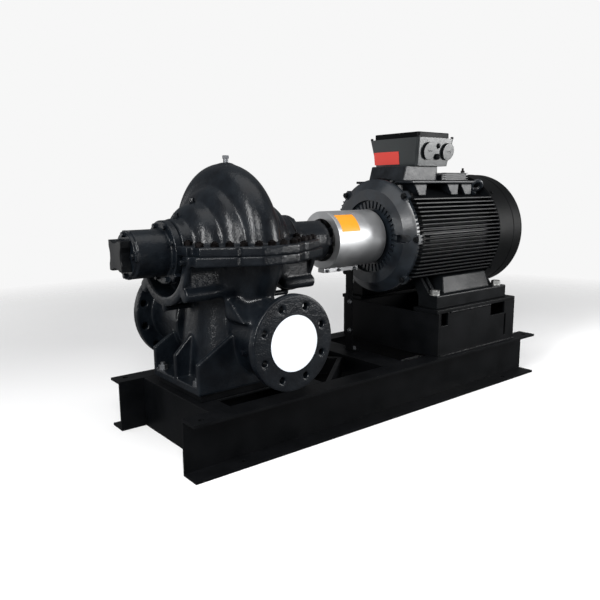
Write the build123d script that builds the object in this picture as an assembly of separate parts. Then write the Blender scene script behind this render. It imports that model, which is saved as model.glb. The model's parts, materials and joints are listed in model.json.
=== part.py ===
from build123d import *
import math
import os

# A horizontal split case pump and its electric motor on one fabricated base frame.
# Frame: +X runs along the shaft from the pump's free end to the motor's fan,
# +Y to the suction side, +Z up. The origin is the middle of the footprint, on the floor.

# Base frame
base_length = 1560.0
base_width = 540.0
channel_height = 160.0
channel_flange = 60.0
channel_plate = 8.0
end_setback = 81.0
crossmember_flange = 70.0
centre_crossmember_x = -25.0
centre_crossmember_width = 100.0
bearer_width = 56.0
bearer_inner_half = 76.0
brace_strip = 26.0
brace_depth = 60.0
brace_clearance = 4.0
anchor_hole = 18.0
anchor_edge = 28.0
anchor_from_end = 168.0
lifting_hole = 18.0
lifting_from_end = 37.0

# Pump feet and body
shaft_height = 577.0
pump_x = -495.0
packing_plate = 22.0
packing_setback = 12.0
foot_plate = 23.0
foot_half_length = 195.0
foot_half_width = 141.0
foot_rib = 16.0
foot_rib_height = 69.0
foot_rib_rise = 75.0
foot_rib_run = 75.0
foot_side_run = 123.0
body_half_length = 152.0
body_half_width = 128.0
body_top_half_length = 128.0
body_top_half_width = 116.0
body_waist = 205.0
body_corner = 100.0

# Turned outline of the casing, as distances from the pump's middle and radii
volute_radius = 250.0
volute_round = 60.0
volute_wrap = 4.0
volute_offset = 18.0
bulge_half_length = 104.0
bulge_radius = 138.0
bulge_sag = 9.0
shoulder_half_length = 163.0
shoulder_sag = 13.0
neck_radius = 94.0
neck_half_length = 200.0
vent_seat_radius = 22.0
vent_seat_rise = 1.5
vent_seat_root = 12.0
vent_plug_diameter = 22.0
vent_plug_height = 19.0

# Split flange
split_upper = 25.0
split_lower = 28.0
split_upper_half_length = 205.0
split_lower_half_length = 217.0
split_end_half_width = 187.0
split_knee_offset = 122.0
split_knee_half_width = 238.0
split_groove_offset = 107.0
split_groove_half_width = 238.0
split_crest_offset = 62.0
split_crest_half_width = 272.0
split_middle_half_width = 278.0
split_round = 18.0
end_block_half_width = 151.0
end_block_half_length = 223.0
end_block_root = 45.0

# Bearing arms
trough_radius = 125.0
lip_radius = 153.0
lip_thickness = 18.0
arm_wall = 14.0
arm_wall_outer = 131.0
arm_bead_radius = 19.0
arm_bead_drop = 109.0
arm_bead_y = 125.0
arm_free_root = 55.0
arm_drive_root = 107.0
trough_depth = 62.0
drain_radius = 9.0
drain_drop = 160.0
drain_length = 101.0

# Nozzles
nozzle_above_foot = 135.0
nozzle_root = 100.0
discharge_reach = 322.0
discharge_flange_diameter = 268.0
discharge_flange_thickness = 26.0
discharge_root_half_width = 78.0
discharge_bolt_edge = 29.0
discharge_bolt_count = 8
discharge_bolt_hole = 19.0
discharge_bore = 125.0
suction_reach = 332.0
suction_flange_diameter = 340.0
suction_flange_thickness = 30.0
suction_root_half_width = 132.0
suction_bolt_edge = 22.5
suction_bolt_count = 12
suction_bolt_hole = 23.0
suction_bore = 200.0
nozzle_wall = 14.0
bore_depth = 90.0
cover_disc_thickness = 3.0
discharge_cover_diameter = 156.0
suction_cover_diameter = 334.0
pad_half_length = 40.0
pad_height = 62.0
pad_drop = 131.0
pad_offset = 56.0
pad_top_reach = 150.0
pad_reach = 222.0

# Bearings
bearing_flange_radius = 90.0
bearing_flange_thickness = 21.0
bearing_housing_radius = 67.0
free_housing_length = 128.0
drive_housing_length = 159.0
bearing_rim_radius = 62.0
bearing_rim_length = 10.0
bearing_cap_reach = 28.0
bearing_cap_half = 42.0
cap_scoop = 1.1
cap_scoop_depth = 0.86
cap_disc = 0.9
cap_disc_setback = 4.0
bearing_flange_clearance = 4.0
ear_reach = 9.0
ear_half_width = 13.0

# Coupling guard
guard_radius = 97.0
guard_sheet = 2.0
guard_start_x = -126.0
guard_end_x = 89.0
guard_bearing_clearance = 5.0
guard_bracket_x = 37.0
guard_bracket_near = 12.0
guard_bracket_far = 46.0
guard_bracket_sheet = 6.0
guard_bracket_foot = 22.0
guard_bracket_foot_side = 17.0
guard_bracket_slot = 9.0
guard_bracket_slot_edge = 8.0
guard_bracket_slot_drop = 88.0
guard_bracket_slot_length = 37.0
guard_seam_drop = 14.0
guard_seam_half_width = 16.0
guard_clearance = 0.3
guard_plate_start = 16.0
guard_plate_length = 80.0
guard_plate_low_angle = 19.0
guard_plate_high_angle = 60.0
guard_plate_thickness = 1.0

# Shaft and coupling inside the guard
pump_shaft_radius = 24.0
hub_radius = 48.0
coupling_radius = 78.0
coupling_x = 3.0
coupling_width = 30.0
hub_length = 52.0
motor_shaft_radius = 30.0
shaft_clearance = 1.0

# Pedestal under the motor
motor_centre_height = 250.0
pedestal_start_x = 205.0
pedestal_nose = 19.0
pedestal_nose_half_width = 140.0
pedestal_end_x = 666.0
pedestal_half_width = 245.0
pedestal_plate = 8.0
pedestal_cap = 14.0
pedestal_cap_depth = 111.0
pedestal_cap_overhang = 8.0
front_notch_start = 14.0
front_notch_length = 37.0
front_notch_depth = 45.0
rear_notch_from_end = 156.0
rear_notch_length = 88.0
rear_notch_depth = 44.0
pedestal_slot_from_end = 66.0
pedestal_slot_width = 10.0
pedestal_slot_height = 84.0
pedestal_slot_lift = 20.0

# Motor
motor_face_x = 100.0
motor_ring_radius = 168.0
motor_recess_radius = 130.0
motor_recess_depth = 12.0
shield_length = 43.0
shield_cone_length = 25.0
shield_cone_radius = 195.0
shield_rim_radius = 203.0
shield_rim_start = 30.0
shield_ear_angles = (0, 45, 135, 180, 225, 315)
shield_ear_radius = 214.0
shield_ear_start = 25.0
shield_ear_half_width = 15.0
shield_notch_half = 14.0
shield_notch_outer = 187.0
shield_slot_count = 40
shield_slot_width = 8.0
shield_slot_inner = 100.0
shield_slot_outer = 127.0
shield_slot_depth = 8.0
frame_core_radius = 186.0
frame_outer_radius = 220.0
frame_end_x = 583.0
lug_length = 7.0
lug_pocket_length = 26.0
lug_pocket_bite = 4.0
fin_count = 20
fin_thickness = 5.0
fin_band = 268.0
bottom_fin_count = 11
bottom_fin_band = 190.0
bottom_fin_radius = 206.0
fan_shield_length = 40.0
cowl_radius = 221.0
cowl_end_x = 745.0
cowl_sheet = 3.0
cowl_round = 26.0
cowl_clearance = 1.0
cowl_hub_radius = 46.0
cowl_slot_count = 28
cowl_slot_width = 8.0
cowl_slot_outer = 160.0

# Motor feet
motor_foot_start_x = 213.0
motor_foot_length = 413.0
motor_foot_block = 47.0
motor_foot_outer = 228.0
motor_foot_inner = 143.0
foot_pad_start = 52.0
foot_pad_length = 280.0
foot_pad_slope = 27.0
foot_pad_top = 106.0
foot_pad_setback = 14.0
foot_pad_top_outer = 186.0
foot_pad_top_inner = 108.0
foot_web = 12.0
foot_web_pitch = 27.0
foot_web_outer = 207.0
foot_web_top_outer = 150.0
foot_web_rise = 105.0

# Terminal box
shelf_height = 196.0
shelf_start_x = 169.0
shelf_end_x = 520.0
shelf_half_width = 140.0
shelf_thickness = 9.0
gusset_tops = (19.0, 199.0, 279.0)
gusset_top_width = 72.0
gusset_lean = 30.0
gusset_foot_width = 36.0
gusset_height = 42.0
gusset_half_width = 130.0
shelf_fin_start_x = 373.0
shelf_fin_count = 9
shelf_fin_band = 200.0
shelf_fin_height = 30.0
neck_start_x = 198.0
neck_flare = 16.0
neck_length = 169.0
neck_half_width = 86.0
neck_height = 53.0
box_start_x = 220.0
box_length = 196.0
box_half_width = 120.0
box_height = 98.0
box_taper_x = 12.0
box_taper_y = 18.0
box_lid_height = 20.0
box_lid_inset = 12.0
box_corner = 10.0
cable_plug_radius = 31.0
cable_plug_reach = 9.0
cable_plug_spacing = 104.0
cable_plug_offset = 15.0
cable_plug_height = 52.0
red_plate_width = 124.0
red_plate_height = 46.0
red_plate_offset = 40.0
red_plate_level = 30.0
red_plate_thickness = 1.5

# Places worked out from the sizes above
cut_margin = 1.0
base_top = channel_height
half_base = base_length / 2
half_width = base_width / 2
web_outer = half_width - channel_flange
web_inner = web_outer - channel_plate
foot_low = base_top + packing_plate
foot_top = foot_low + foot_plate
nozzle_height = foot_top + nozzle_above_foot
split_top = shaft_height + split_upper
split_bottom = shaft_height - split_lower
pedestal_top = shaft_height - motor_centre_height
pedestal_cap_low = pedestal_top - pedestal_cap
shield_end_x = motor_face_x + shield_length
guard_low = shaft_height - guard_radius - guard_clearance
shelf_top = shaft_height + shelf_height
shelf_low = shelf_top - shelf_thickness
neck_top = shelf_top + neck_height
box_top = neck_top + box_height
os.makedirs("parts", exist_ok=True)


def save(shape, name):
    """Writes one piece."""
    export_step(shape, "parts/" + name + ".step")


def block(x0, x1, y0, y1, z0, z1):
    """A box between two corners."""
    middle = Pos((x0 + x1) / 2, (y0 + y1) / 2, (z0 + z1) / 2)
    return middle * Box(abs(x1 - x0), abs(y1 - y0), abs(z1 - z0))


def along_x(x0, x1, radius, z=shaft_height, y=0.0):
    """A round bar along the shaft."""
    return Pos((x0 + x1) / 2, y, z) * Rot(0, 90, 0) * Cylinder(radius, abs(x1 - x0))


def along_y(y0, y1, radius, x, z):
    """A round bar across the base."""
    return Pos(x, (y0 + y1) / 2, z) * Rot(90, 0, 0) * Cylinder(radius, abs(y1 - y0))


def upright(x, y, z0, z1, radius):
    """A round bar standing up."""
    return Pos(x, y, (z0 + z1) / 2) * Cylinder(radius, z1 - z0)


def slab_xz(points, y0, y1):
    """A plate between two planes across the base, from its outline in X and Z."""
    face = Plane.XZ * make_face(Polyline(*points, close=True))
    return Pos(0, (y0 + y1) / 2, 0) * extrude(face, abs(y1 - y0) / 2, both=True)


def slab_yz(points, x0, x1):
    """A plate between two planes along the shaft, from its outline in Y and Z."""
    face = Plane.YZ * make_face(Polyline(*points, close=True))
    return Pos((x0 + x1) / 2, 0, 0) * extrude(face, abs(x1 - x0) / 2, both=True)


def slab_xy(points, z0, z1):
    """A plate between two levels, from its outline in X and Y."""
    return Pos(0, 0, z0) * extrude(make_face(Polyline(*points, close=True)), z1 - z0)


def spoke(angle, x0, x1, inner, outer, half_width_of_spoke):
    """A bar that points away from the shaft at an angle."""
    bar = block(x0, x1, inner, outer, -half_width_of_spoke, half_width_of_spoke)
    return Pos(0, 0, shaft_height) * Rot(angle, 0, 0) * bar


def make_rail(side):
    """One long channel with its flanges turned outwards."""
    outer = side * half_width
    web_a, web_b = side * web_inner, side * web_outer
    rail = block(-half_base, half_base, web_a, web_b, 0, base_top)
    rail += block(-half_base, half_base, web_b, outer, 0, channel_plate)
    rail += block(-half_base, half_base, web_b, outer, base_top - channel_plate, base_top)
    for end in (-1, 1):
        x = end * (half_base - anchor_from_end)
        y = side * (half_width - anchor_edge)
        rail -= upright(x, y, -cut_margin, channel_plate + cut_margin, anchor_hole / 2)
        x = end * (half_base - lifting_from_end)
        rail -= upright(x, y, base_top - channel_plate - cut_margin, base_top + cut_margin,
                        lifting_hole / 2)
    return rail


def make_crossmember(web_x, flange_to):
    """A channel between the two rails, its flanges pointing along the shaft."""
    direction = 1 if flange_to > web_x else -1
    web_back = web_x + direction * channel_plate
    piece = block(web_x, web_back, -web_inner, web_inner, 0, base_top)
    piece += block(web_back, flange_to, -web_inner, web_inner, base_top - channel_plate, base_top)
    piece += block(web_back, flange_to, -web_inner, web_inner, 0, channel_plate)
    return piece


def make_bearer(side, x0, x1):
    """A short channel that carries one row of pump feet."""
    inner, outer = side * bearer_inner_half, side * (bearer_inner_half + bearer_width)
    web = side * (bearer_inner_half + channel_plate)
    piece = block(x0, x1, inner, web, 0, base_top)
    piece += block(x0, x1, web, outer, base_top - channel_plate, base_top)
    piece += block(x0, x1, web, outer, 0, channel_plate)
    return piece


def make_brace(side, x_rail, x_meet):
    """A slanted bar from one rail to the middle of the centre crossmember."""
    top = base_top - channel_plate
    near = x_rail + brace_clearance
    corners = [(near, side * web_inner), (near + brace_strip, side * web_inner),
               (x_meet, 0), (x_meet - brace_strip, 0)]
    return slab_xy(corners, top - brace_depth, top)


def casing_revolve():
    """The volute, set back a little, between two turned suction bulges and seal necks."""
    hub = volute_radius - volute_round
    wrap = math.radians(volute_wrap)
    crest = (volute_round * math.cos(wrap), hub - volute_round * math.sin(wrap))
    rim = CenterArc((0, hub), volute_round, -volute_wrap, 180 + 2 * volute_wrap)
    sides = Polyline((-crest[0], crest[1]), (-crest[0], 0), (crest[0], 0), (crest[0], crest[1]))
    volute = revolve(make_face([rim, *sides.edges()]), Axis.X)
    edges = [Line((-crest[0], crest[1]), (crest[0], crest[1]))]
    for end in (-1, 1):
        stations = [(end * crest[0], crest[1]), (end * bulge_half_length, bulge_radius),
                    (end * shoulder_half_length, neck_radius)]
        for first, second, sag in zip(stations, stations[1:], (bulge_sag, shoulder_sag)):
            edges.append(SagittaArc(first, second, end * sag))
        neck = (end * neck_half_length, neck_radius)
        edges.append(Line(stations[-1], neck))
        edges.append(Line(neck, (end * neck_half_length, 0)))
    edges.append(Line((-neck_half_length, 0), (neck_half_length, 0)))
    bulges = revolve(make_face(edges), Axis.X)
    return Pos(pump_x, 0, shaft_height) * (Pos(0, volute_offset, 0) * volute + bulges)


def split_flange(half_length, z0, z1):
    """The bolted flange between the casing halves, wider at the volute."""
    quarter = [(half_length, split_end_half_width),
               (split_knee_offset, split_knee_half_width),
               (split_groove_offset, split_groove_half_width),
               (split_crest_offset, split_crest_half_width)]
    half = quarter + [(0, split_middle_half_width)] + [(-x, y) for x, y in reversed(quarter)]
    corners = half + [(x, -y) for x, y in reversed(half)]
    plate = slab_xy(corners, 0, z1 - z0)
    turned_at = (split_knee_offset, split_groove_offset, split_crest_offset)
    rounded = [e for e in plate.edges().filter_by(Axis.Z)
               if any(math.isclose(abs(e.center().X), x) for x in turned_at)]
    plate = fillet(rounded, split_round / 2)
    plate += block(-end_block_half_length, end_block_half_length,
                   -end_block_half_width, end_block_half_width, 0, z1 - z0)
    return Pos(pump_x, 0, z0) * plate


def bearing_room(radius, depth):
    """The two round spaces that the bearing flanges stand in."""
    room = None
    for end in (-1, 1):
        outside = pump_x + end * (end_block_half_length + cut_margin)
        inside = pump_x + end * (end_block_half_length - depth)
        hole = along_x(inside, outside, radius)
        room = hole if room is None else room + hole
    return room


def make_upper_casing(turned):
    """Volute cover with its half of the split flange."""
    reach = base_length
    room = block(-reach, reach, -reach, reach, shaft_height, shaft_height + reach)
    cover = split_flange(split_upper_half_length, shaft_height, split_top)
    cover -= bearing_room(bearing_flange_radius + bearing_flange_clearance, end_block_root)
    cover += turned & room
    top = shaft_height + volute_radius
    return cover + upright(pump_x, 0, top - vent_seat_root, top + vent_seat_rise, vent_seat_radius)


def nozzle(side, reach, flange_radius, flange_thickness, bore, root_half_width):
    """One side nozzle with its flange, spread to an oval where it leaves the body."""
    face = side * reach
    back = side * (reach - flange_thickness)
    oval, ring = [Plane(origin=(pump_x, y, nozzle_height), x_dir=(1, 0, 0), z_dir=(0, side, 0))
                  for y in (side * nozzle_root, back)]
    throat = loft([oval * Ellipse(root_half_width, nozzle_above_foot),
                   ring * Circle(bore / 2 + nozzle_wall)])
    return throat + along_y(back, face, flange_radius, pump_x, nozzle_height)


def nozzle_cuts(side, reach, flange_thickness, bore, bolt_circle, count, hole):
    """The bore and the bolt holes of one nozzle."""
    outside = side * (reach + cut_margin)
    cuts = along_y(outside, side * (reach - bore_depth), bore / 2, pump_x, nozzle_height)
    behind = side * (reach - flange_thickness - cut_margin)
    for i in range(count):
        angle = 2 * math.pi * (i + 0.5) / count
        x = pump_x + bolt_circle / 2 * math.cos(angle)
        z = nozzle_height + bolt_circle / 2 * math.sin(angle)
        cuts += along_y(outside, behind, hole / 2, x, z)
    return cuts


def discharge_pad():
    """Sloping shoulder between the volute and the top of the discharge neck."""
    x = pump_x - pad_offset
    z = shaft_height - pad_drop
    corners = [(-body_top_half_width, z), (-pad_top_reach, z), (-pad_reach, z - pad_height),
               (-body_top_half_width, z - pad_height)]
    return slab_yz(corners, x - pad_half_length, x + pad_half_length)


def foot_rib_plate(end):
    """The middle rib at one end of the pump foot."""
    x_out = pump_x + end * foot_half_length
    x_in = x_out - end * foot_rib_run
    top = foot_top + foot_rib_height
    root = foot_top - foot_plate / 2
    corners = [(x_out, root), (x_out, top), (x_in, top + foot_rib_rise), (x_in, root)]
    return slab_xz(corners, -foot_rib / 2, foot_rib / 2)


def foot_side_plate(side):
    """The upright plate along one side of the pump foot, its two ends sloped."""
    x0, x1 = pump_x - foot_half_length, pump_x + foot_half_length
    top = foot_top + foot_rib_height
    peak = top + foot_rib_rise
    root = foot_top - foot_plate / 2
    corners = [(x0, root), (x0, top), (x0 + foot_side_run, peak),
               (x1 - foot_side_run, peak), (x1, top), (x1, root)]
    y = side * (foot_half_width - foot_rib / 2)
    return slab_xz(corners, y - foot_rib / 2, y + foot_rib / 2)


def make_arm(end, root_length):
    """The open trough below one bearing, with its lip, side walls, beads and drain."""
    x_face = pump_x + end * end_block_half_length
    x_lip = x_face - end * lip_thickness
    x_root = pump_x + end * root_length
    arm = along_x(x_lip, x_face, lip_radius)
    arm += along_x(pump_x, x_lip, trough_radius + arm_wall)
    bead_z = shaft_height - arm_bead_drop
    for side in (-1, 1):
        arm += block(x_root, x_lip, side * arm_bead_y, side * arm_wall_outer, bead_z, split_bottom)
        arm += block(x_root, x_lip, 0, side * arm_bead_y, bead_z, split_bottom)
        arm += along_x(x_root, x_face, arm_bead_radius, bead_z, side * arm_bead_y)
    arm += along_x(x_face, x_face - end * drain_length, drain_radius, shaft_height - drain_drop)
    return arm


def make_body():
    """The tapered box of the lower casing between its foot and the volute."""
    low = Pos(pump_x, 0, foot_top - foot_plate / 2)
    waist = Pos(pump_x, 0, foot_top + body_waist)
    wide = low * RectangleRounded(2 * body_half_length, 2 * body_half_width, body_corner)
    slim = RectangleRounded(2 * body_top_half_length, 2 * body_top_half_width, body_corner)
    body = loft([wide, waist * slim])
    return body + waist * extrude(slim, split_bottom - foot_top - body_waist)


def make_lower_casing(turned):
    """Lower half with feet, nozzles, bearing arms and its half of the split flange."""
    reach = base_length
    room = block(-reach, reach, -reach, reach, shaft_height - reach, shaft_height)
    casing = make_arm(-1, arm_free_root) + make_arm(1, arm_drive_root)
    casing += split_flange(split_lower_half_length, split_bottom, shaft_height)
    casing -= bearing_room(trough_radius, trough_depth)
    casing += make_body()
    casing += turned
    casing = casing & room
    casing += block(pump_x - foot_half_length, pump_x + foot_half_length,
                    -foot_half_width, foot_half_width, foot_low, foot_top)
    for end in (-1, 1):
        casing += foot_rib_plate(end)
        casing += foot_side_plate(end)
    casing += discharge_pad()
    casing += nozzle(-1, discharge_reach, discharge_flange_diameter / 2, discharge_flange_thickness,
                     discharge_bore, discharge_root_half_width)
    casing += nozzle(1, suction_reach, suction_flange_diameter / 2, suction_flange_thickness,
                     suction_bore, suction_root_half_width)
    casing -= nozzle_cuts(-1, discharge_reach, discharge_flange_thickness, discharge_bore,
                          discharge_flange_diameter - 2 * discharge_bolt_edge,
                          discharge_bolt_count, discharge_bolt_hole)
    casing -= nozzle_cuts(1, suction_reach, suction_flange_thickness, suction_bore,
                          suction_flange_diameter - 2 * suction_bolt_edge,
                          suction_bolt_count, suction_bolt_hole)
    return casing


def make_bearing_housing(end, length):
    """Round bearing housing: an eared flange at the casing neck and a stepped outer rim."""
    face = pump_x + end * neck_half_length
    flange_end = face + end * bearing_flange_thickness
    rim_start = face + end * (length - bearing_rim_length)
    outside = face + end * length
    housing = along_x(face, flange_end, bearing_flange_radius)
    housing += along_x(flange_end, rim_start, bearing_housing_radius)
    housing += along_x(rim_start, outside, bearing_rim_radius)
    for quarter in range(4):
        housing += spoke(90 * quarter, rim_start, outside, bearing_cap_half / 2,
                         bearing_housing_radius, ear_half_width)
    for angle in (225, 315):
        housing += spoke(angle, face, flange_end, bearing_housing_radius,
                         bearing_flange_radius + ear_reach, ear_half_width)
    bore = pump_shaft_radius + shaft_clearance
    return housing - along_x(face - end * cut_margin, outside + end * cut_margin, bore)


def make_bearing_cap(end, length, open_middle):
    """End cover with four ears and hollow sides."""
    x0 = pump_x + end * (neck_half_length + length)
    x1 = x0 + end * bearing_cap_reach
    half = bearing_cap_half
    cap = block(x0, x1, -half, half, shaft_height - half, shaft_height + half)
    scoop = half * cap_scoop
    reach = half + scoop * cap_scoop_depth
    for y, z in ((0, 1), (0, -1), (1, 0), (-1, 0)):
        cap -= along_x(x0 - end * cut_margin, x1 + end * cut_margin, scoop,
                       shaft_height + z * reach, y * reach)
    cap = cap + along_x(x0, x1 - end * cap_disc_setback, half * cap_disc)
    if open_middle:
        cap -= along_x(x0 - end * cut_margin, x1 + end * cut_margin,
                       pump_shaft_radius + shaft_clearance)
    return cap


def make_shaft_coupling():
    """Pump shaft end, coupling and motor shaft end as one turned piece."""
    start = pump_x + neck_half_length + drive_housing_length
    disc_start = coupling_x - coupling_width / 2
    disc_end = coupling_x + coupling_width / 2
    piece = along_x(start, coupling_x, pump_shaft_radius)
    piece += along_x(disc_start - hub_length, disc_end + hub_length, hub_radius)
    piece += along_x(disc_start, disc_end, coupling_radius)
    return piece + along_x(coupling_x, shield_end_x, motor_shaft_radius)


def make_guard():
    """Round sheet guard over the coupling, closed at the pump side by a flat ring."""
    shell = along_x(guard_start_x, guard_end_x, guard_radius)
    shell -= along_x(guard_start_x + guard_sheet, guard_end_x + cut_margin,
                     guard_radius - guard_sheet)
    return shell - along_x(guard_start_x - cut_margin, guard_start_x + guard_sheet + cut_margin,
                           bearing_housing_radius + guard_bearing_clearance)


def make_guard_seam():
    """The two turned-down lips below the guard."""
    return block(guard_start_x, guard_bracket_x - guard_bracket_sheet,
                 -guard_seam_half_width, guard_seam_half_width,
                 guard_low - guard_seam_drop, guard_low)


def make_guard_plate():
    """Thin curved plate on the front of the guard."""
    x0 = guard_start_x + guard_plate_start
    x1 = x0 + guard_plate_length
    outside = guard_radius + guard_plate_thickness
    sheet = along_x(x0, x1, outside) - along_x(x0 - cut_margin, x1 + cut_margin, guard_radius)
    corners = [(0, shaft_height)]
    for angle in (guard_plate_low_angle, guard_plate_high_angle):
        corners.append((-2 * outside * math.cos(math.radians(angle)),
                        shaft_height + 2 * outside * math.sin(math.radians(angle))))
    return sheet & slab_yz(corners, x0, x1)


def make_guard_bracket():
    """Slotted upright that holds the guard, on a foot bolted to the centre crossmember."""
    x1 = guard_bracket_x
    x0 = x1 - guard_bracket_sheet
    y0, y1 = guard_bracket_near, guard_bracket_far
    plate = block(x0, x1, y0, y1, base_top, guard_low)
    plate += block(x0, x1 + guard_bracket_foot, y0 - guard_bracket_foot_side, y1,
                   base_top, base_top + guard_bracket_sheet)
    slot_y = y0 + guard_bracket_slot_edge
    slot_z = guard_low - guard_bracket_slot_drop
    return plate - block(x0 - cut_margin, x1 + cut_margin, slot_y, slot_y + guard_bracket_slot,
                         slot_z - guard_bracket_slot_length, slot_z)


def make_pedestal_nose():
    """The bent upright plate that closes the pump side of the pedestal."""
    x0, t = pedestal_start_x, pedestal_plate
    nose, half = x0 - pedestal_nose, pedestal_nose_half_width
    wide = pedestal_half_width
    front = [(x0, -wide), (nose, -half), (nose, half), (x0, wide)]
    back = [(x + t, y) for x, y in reversed(front)]
    return slab_xy(front + back, base_top, pedestal_cap_low)


def make_pedestal_end():
    """The upright plate that closes the fan side of the pedestal."""
    inner = pedestal_half_width - pedestal_plate
    return block(pedestal_end_x - pedestal_plate, pedestal_end_x, -inner, inner,
                 base_top, pedestal_cap_low)


def make_pedestal_face(side):
    """The long upright plate below one motor foot. Only the front one has openings."""
    y0 = side * (pedestal_half_width - pedestal_plate)
    y1 = side * pedestal_half_width
    x0 = pedestal_start_x + pedestal_plate
    plate = block(x0, pedestal_end_x, y0, y1, base_top, pedestal_cap_low)
    if side > 0:
        return plate
    notch_x = pedestal_start_x + front_notch_start
    rear_x = pedestal_end_x - rear_notch_from_end
    slot_x = pedestal_end_x - pedestal_slot_from_end
    slot_z = base_top + pedestal_slot_lift
    low, high = min(y0, y1) - cut_margin, max(y0, y1) + cut_margin
    plate -= block(notch_x, notch_x + front_notch_length, low, high,
                   pedestal_cap_low - front_notch_depth, pedestal_cap_low + cut_margin)
    plate -= block(rear_x, rear_x + rear_notch_length, low, high,
                   pedestal_cap_low - rear_notch_depth, pedestal_cap_low + cut_margin)
    return plate - block(slot_x, slot_x + pedestal_slot_width, low, high,
                         slot_z, slot_z + pedestal_slot_height)


def make_pedestal_cap(side):
    """The thick plate that one motor foot stands on."""
    y1 = side * pedestal_half_width
    y0 = side * (pedestal_half_width - pedestal_cap_depth)
    return block(pedestal_start_x - pedestal_cap_overhang, pedestal_end_x, y0, y1,
                 pedestal_cap_low, pedestal_top)


def make_stator():
    """Finned motor frame with the lugs that the drive-end shield bolts to."""
    x0, x1 = shield_end_x, frame_end_x
    core = along_x(x0, x1, frame_core_radius)
    half_fin = fin_thickness / 2
    for i in range(fin_count):
        rise = fin_band * (i / (fin_count - 1) - 0.5)
        z = shaft_height + rise
        reach = math.sqrt(frame_outer_radius ** 2 - rise ** 2)
        core += block(x0, x1, -reach, reach, z - half_fin, z + half_fin)
    for i in range(bottom_fin_count):
        y = bottom_fin_band * (i / (bottom_fin_count - 1) - 0.5)
        reach = math.sqrt(bottom_fin_radius ** 2 - y ** 2)
        core += block(x0, x1, y - half_fin, y + half_fin, shaft_height - reach, shaft_height)
        for a, b in ((x0, shelf_start_x - shaft_clearance), (shelf_end_x + shaft_clearance, x1)):
            core += block(a, b, y - half_fin, y + half_fin, shaft_height, shaft_height + reach)
    lug_end = x0 + lug_length
    for angle in shield_ear_angles:
        core -= spoke(angle, lug_end, lug_end + lug_pocket_length,
                      frame_core_radius - lug_pocket_bite, frame_outer_radius + cut_margin,
                      shield_ear_half_width)
        core += spoke(angle, x0, lug_end, frame_core_radius / 2, shield_ear_radius,
                      shield_ear_half_width)
    return core


def make_motor_foot(side, stator):
    """Foot block with its slanted pad and its upright webs below the frame."""
    x0 = motor_foot_start_x
    x1 = x0 + motor_foot_length
    block_top = pedestal_top + motor_foot_block
    low = block_top - foot_web
    foot = block(x0, x1, side * motor_foot_inner, side * motor_foot_outer, pedestal_top, block_top)
    pad_low = motor_foot_outer - foot_pad_setback
    a, b = x0 + foot_pad_start, x0 + foot_pad_start + foot_pad_length
    wide = Plane(((a + b) / 2, side * (pad_low + motor_foot_inner) / 2, low))
    slim = Plane(((a + foot_pad_slope + b) / 2, side * (foot_pad_top_outer + foot_pad_top_inner) / 2,
                  pedestal_top + foot_pad_top))
    foot += loft([wide * Rectangle(b - a, pad_low - motor_foot_inner),
                  slim * Rectangle(b - a - foot_pad_slope, foot_pad_top_outer - foot_pad_top_inner)])
    top = pedestal_top + foot_web_rise
    outline = [(side * foot_web_outer, low), (side * foot_web_top_outer, top),
               (side * foot_pad_top_inner, top), (side * motor_foot_inner, low)]
    for x in (x0, x0 + foot_web_pitch, frame_end_x - foot_web):
        foot += slab_yz(outline, x, x + foot_web)
    return foot - stator


def make_drive_shield():
    """Drive-end shield: cone, flat ring, slotted recess, notches and bolt ears."""
    x0, x1 = motor_face_x, shield_end_x
    floor = x0 + motor_recess_depth
    hole = motor_shaft_radius + shaft_clearance
    outline = make_face(Polyline(
        (x0, motor_recess_radius), (x0, motor_ring_radius),
        (x0 + shield_cone_length, shield_cone_radius), (x0 + shield_rim_start, shield_rim_radius),
        (x1, shield_rim_radius), (x1, hole), (floor, hole), (floor, motor_recess_radius),
        close=True))
    shield = Pos(0, 0, shaft_height) * revolve(outline, Axis.X)
    for angle in shield_ear_angles:
        shield += spoke(angle, x0 + shield_ear_start, x1,
                        shield_cone_radius - shield_ear_half_width, shield_ear_radius,
                        shield_ear_half_width)
    for i in range(shield_slot_count):
        shield -= spoke(360 * (i + 0.5) / shield_slot_count, floor - cut_margin,
                        floor + shield_slot_depth, shield_slot_inner, shield_slot_outer,
                        shield_slot_width / 2)
    notch_end = x0 + shield_ear_start
    middle = shield_notch_outer - shield_notch_half
    for side in (-1, 1):
        cut = spoke(0 if side > 0 else 180, x0 - cut_margin, notch_end, shield_slot_outer, middle,
                    shield_notch_half)
        cut += along_x(x0 - cut_margin, notch_end, shield_notch_half, shaft_height, side * middle)
        shield -= cut
    return shield


def make_fan_shield():
    """Fan-end shield between the frame and the cowl."""
    return along_x(frame_end_x, frame_end_x + fan_shield_length,
                   cowl_radius - cowl_sheet - cowl_clearance)


def make_cowl():
    """Fan cowl, open towards the frame, with a ring of air slots at its far end."""
    x0, x1 = frame_end_x, cowl_end_x
    shell = along_x(x0, x1, cowl_radius)
    shell = fillet(shell.edges().sort_by(Axis.X)[-1], cowl_round)
    hollow = along_x(x0 - cut_margin, x1 - cowl_sheet, cowl_radius - cowl_sheet)
    hollow = fillet(hollow.edges().sort_by(Axis.X)[-1], cowl_round - cowl_sheet)
    shell -= hollow
    for i in range(cowl_slot_count):
        shell -= spoke(360 * i / cowl_slot_count, x1 - cowl_sheet - cut_margin, x1 + cut_margin,
                       cowl_hub_radius, cowl_slot_outer, cowl_slot_width / 2)
    return shell


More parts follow.
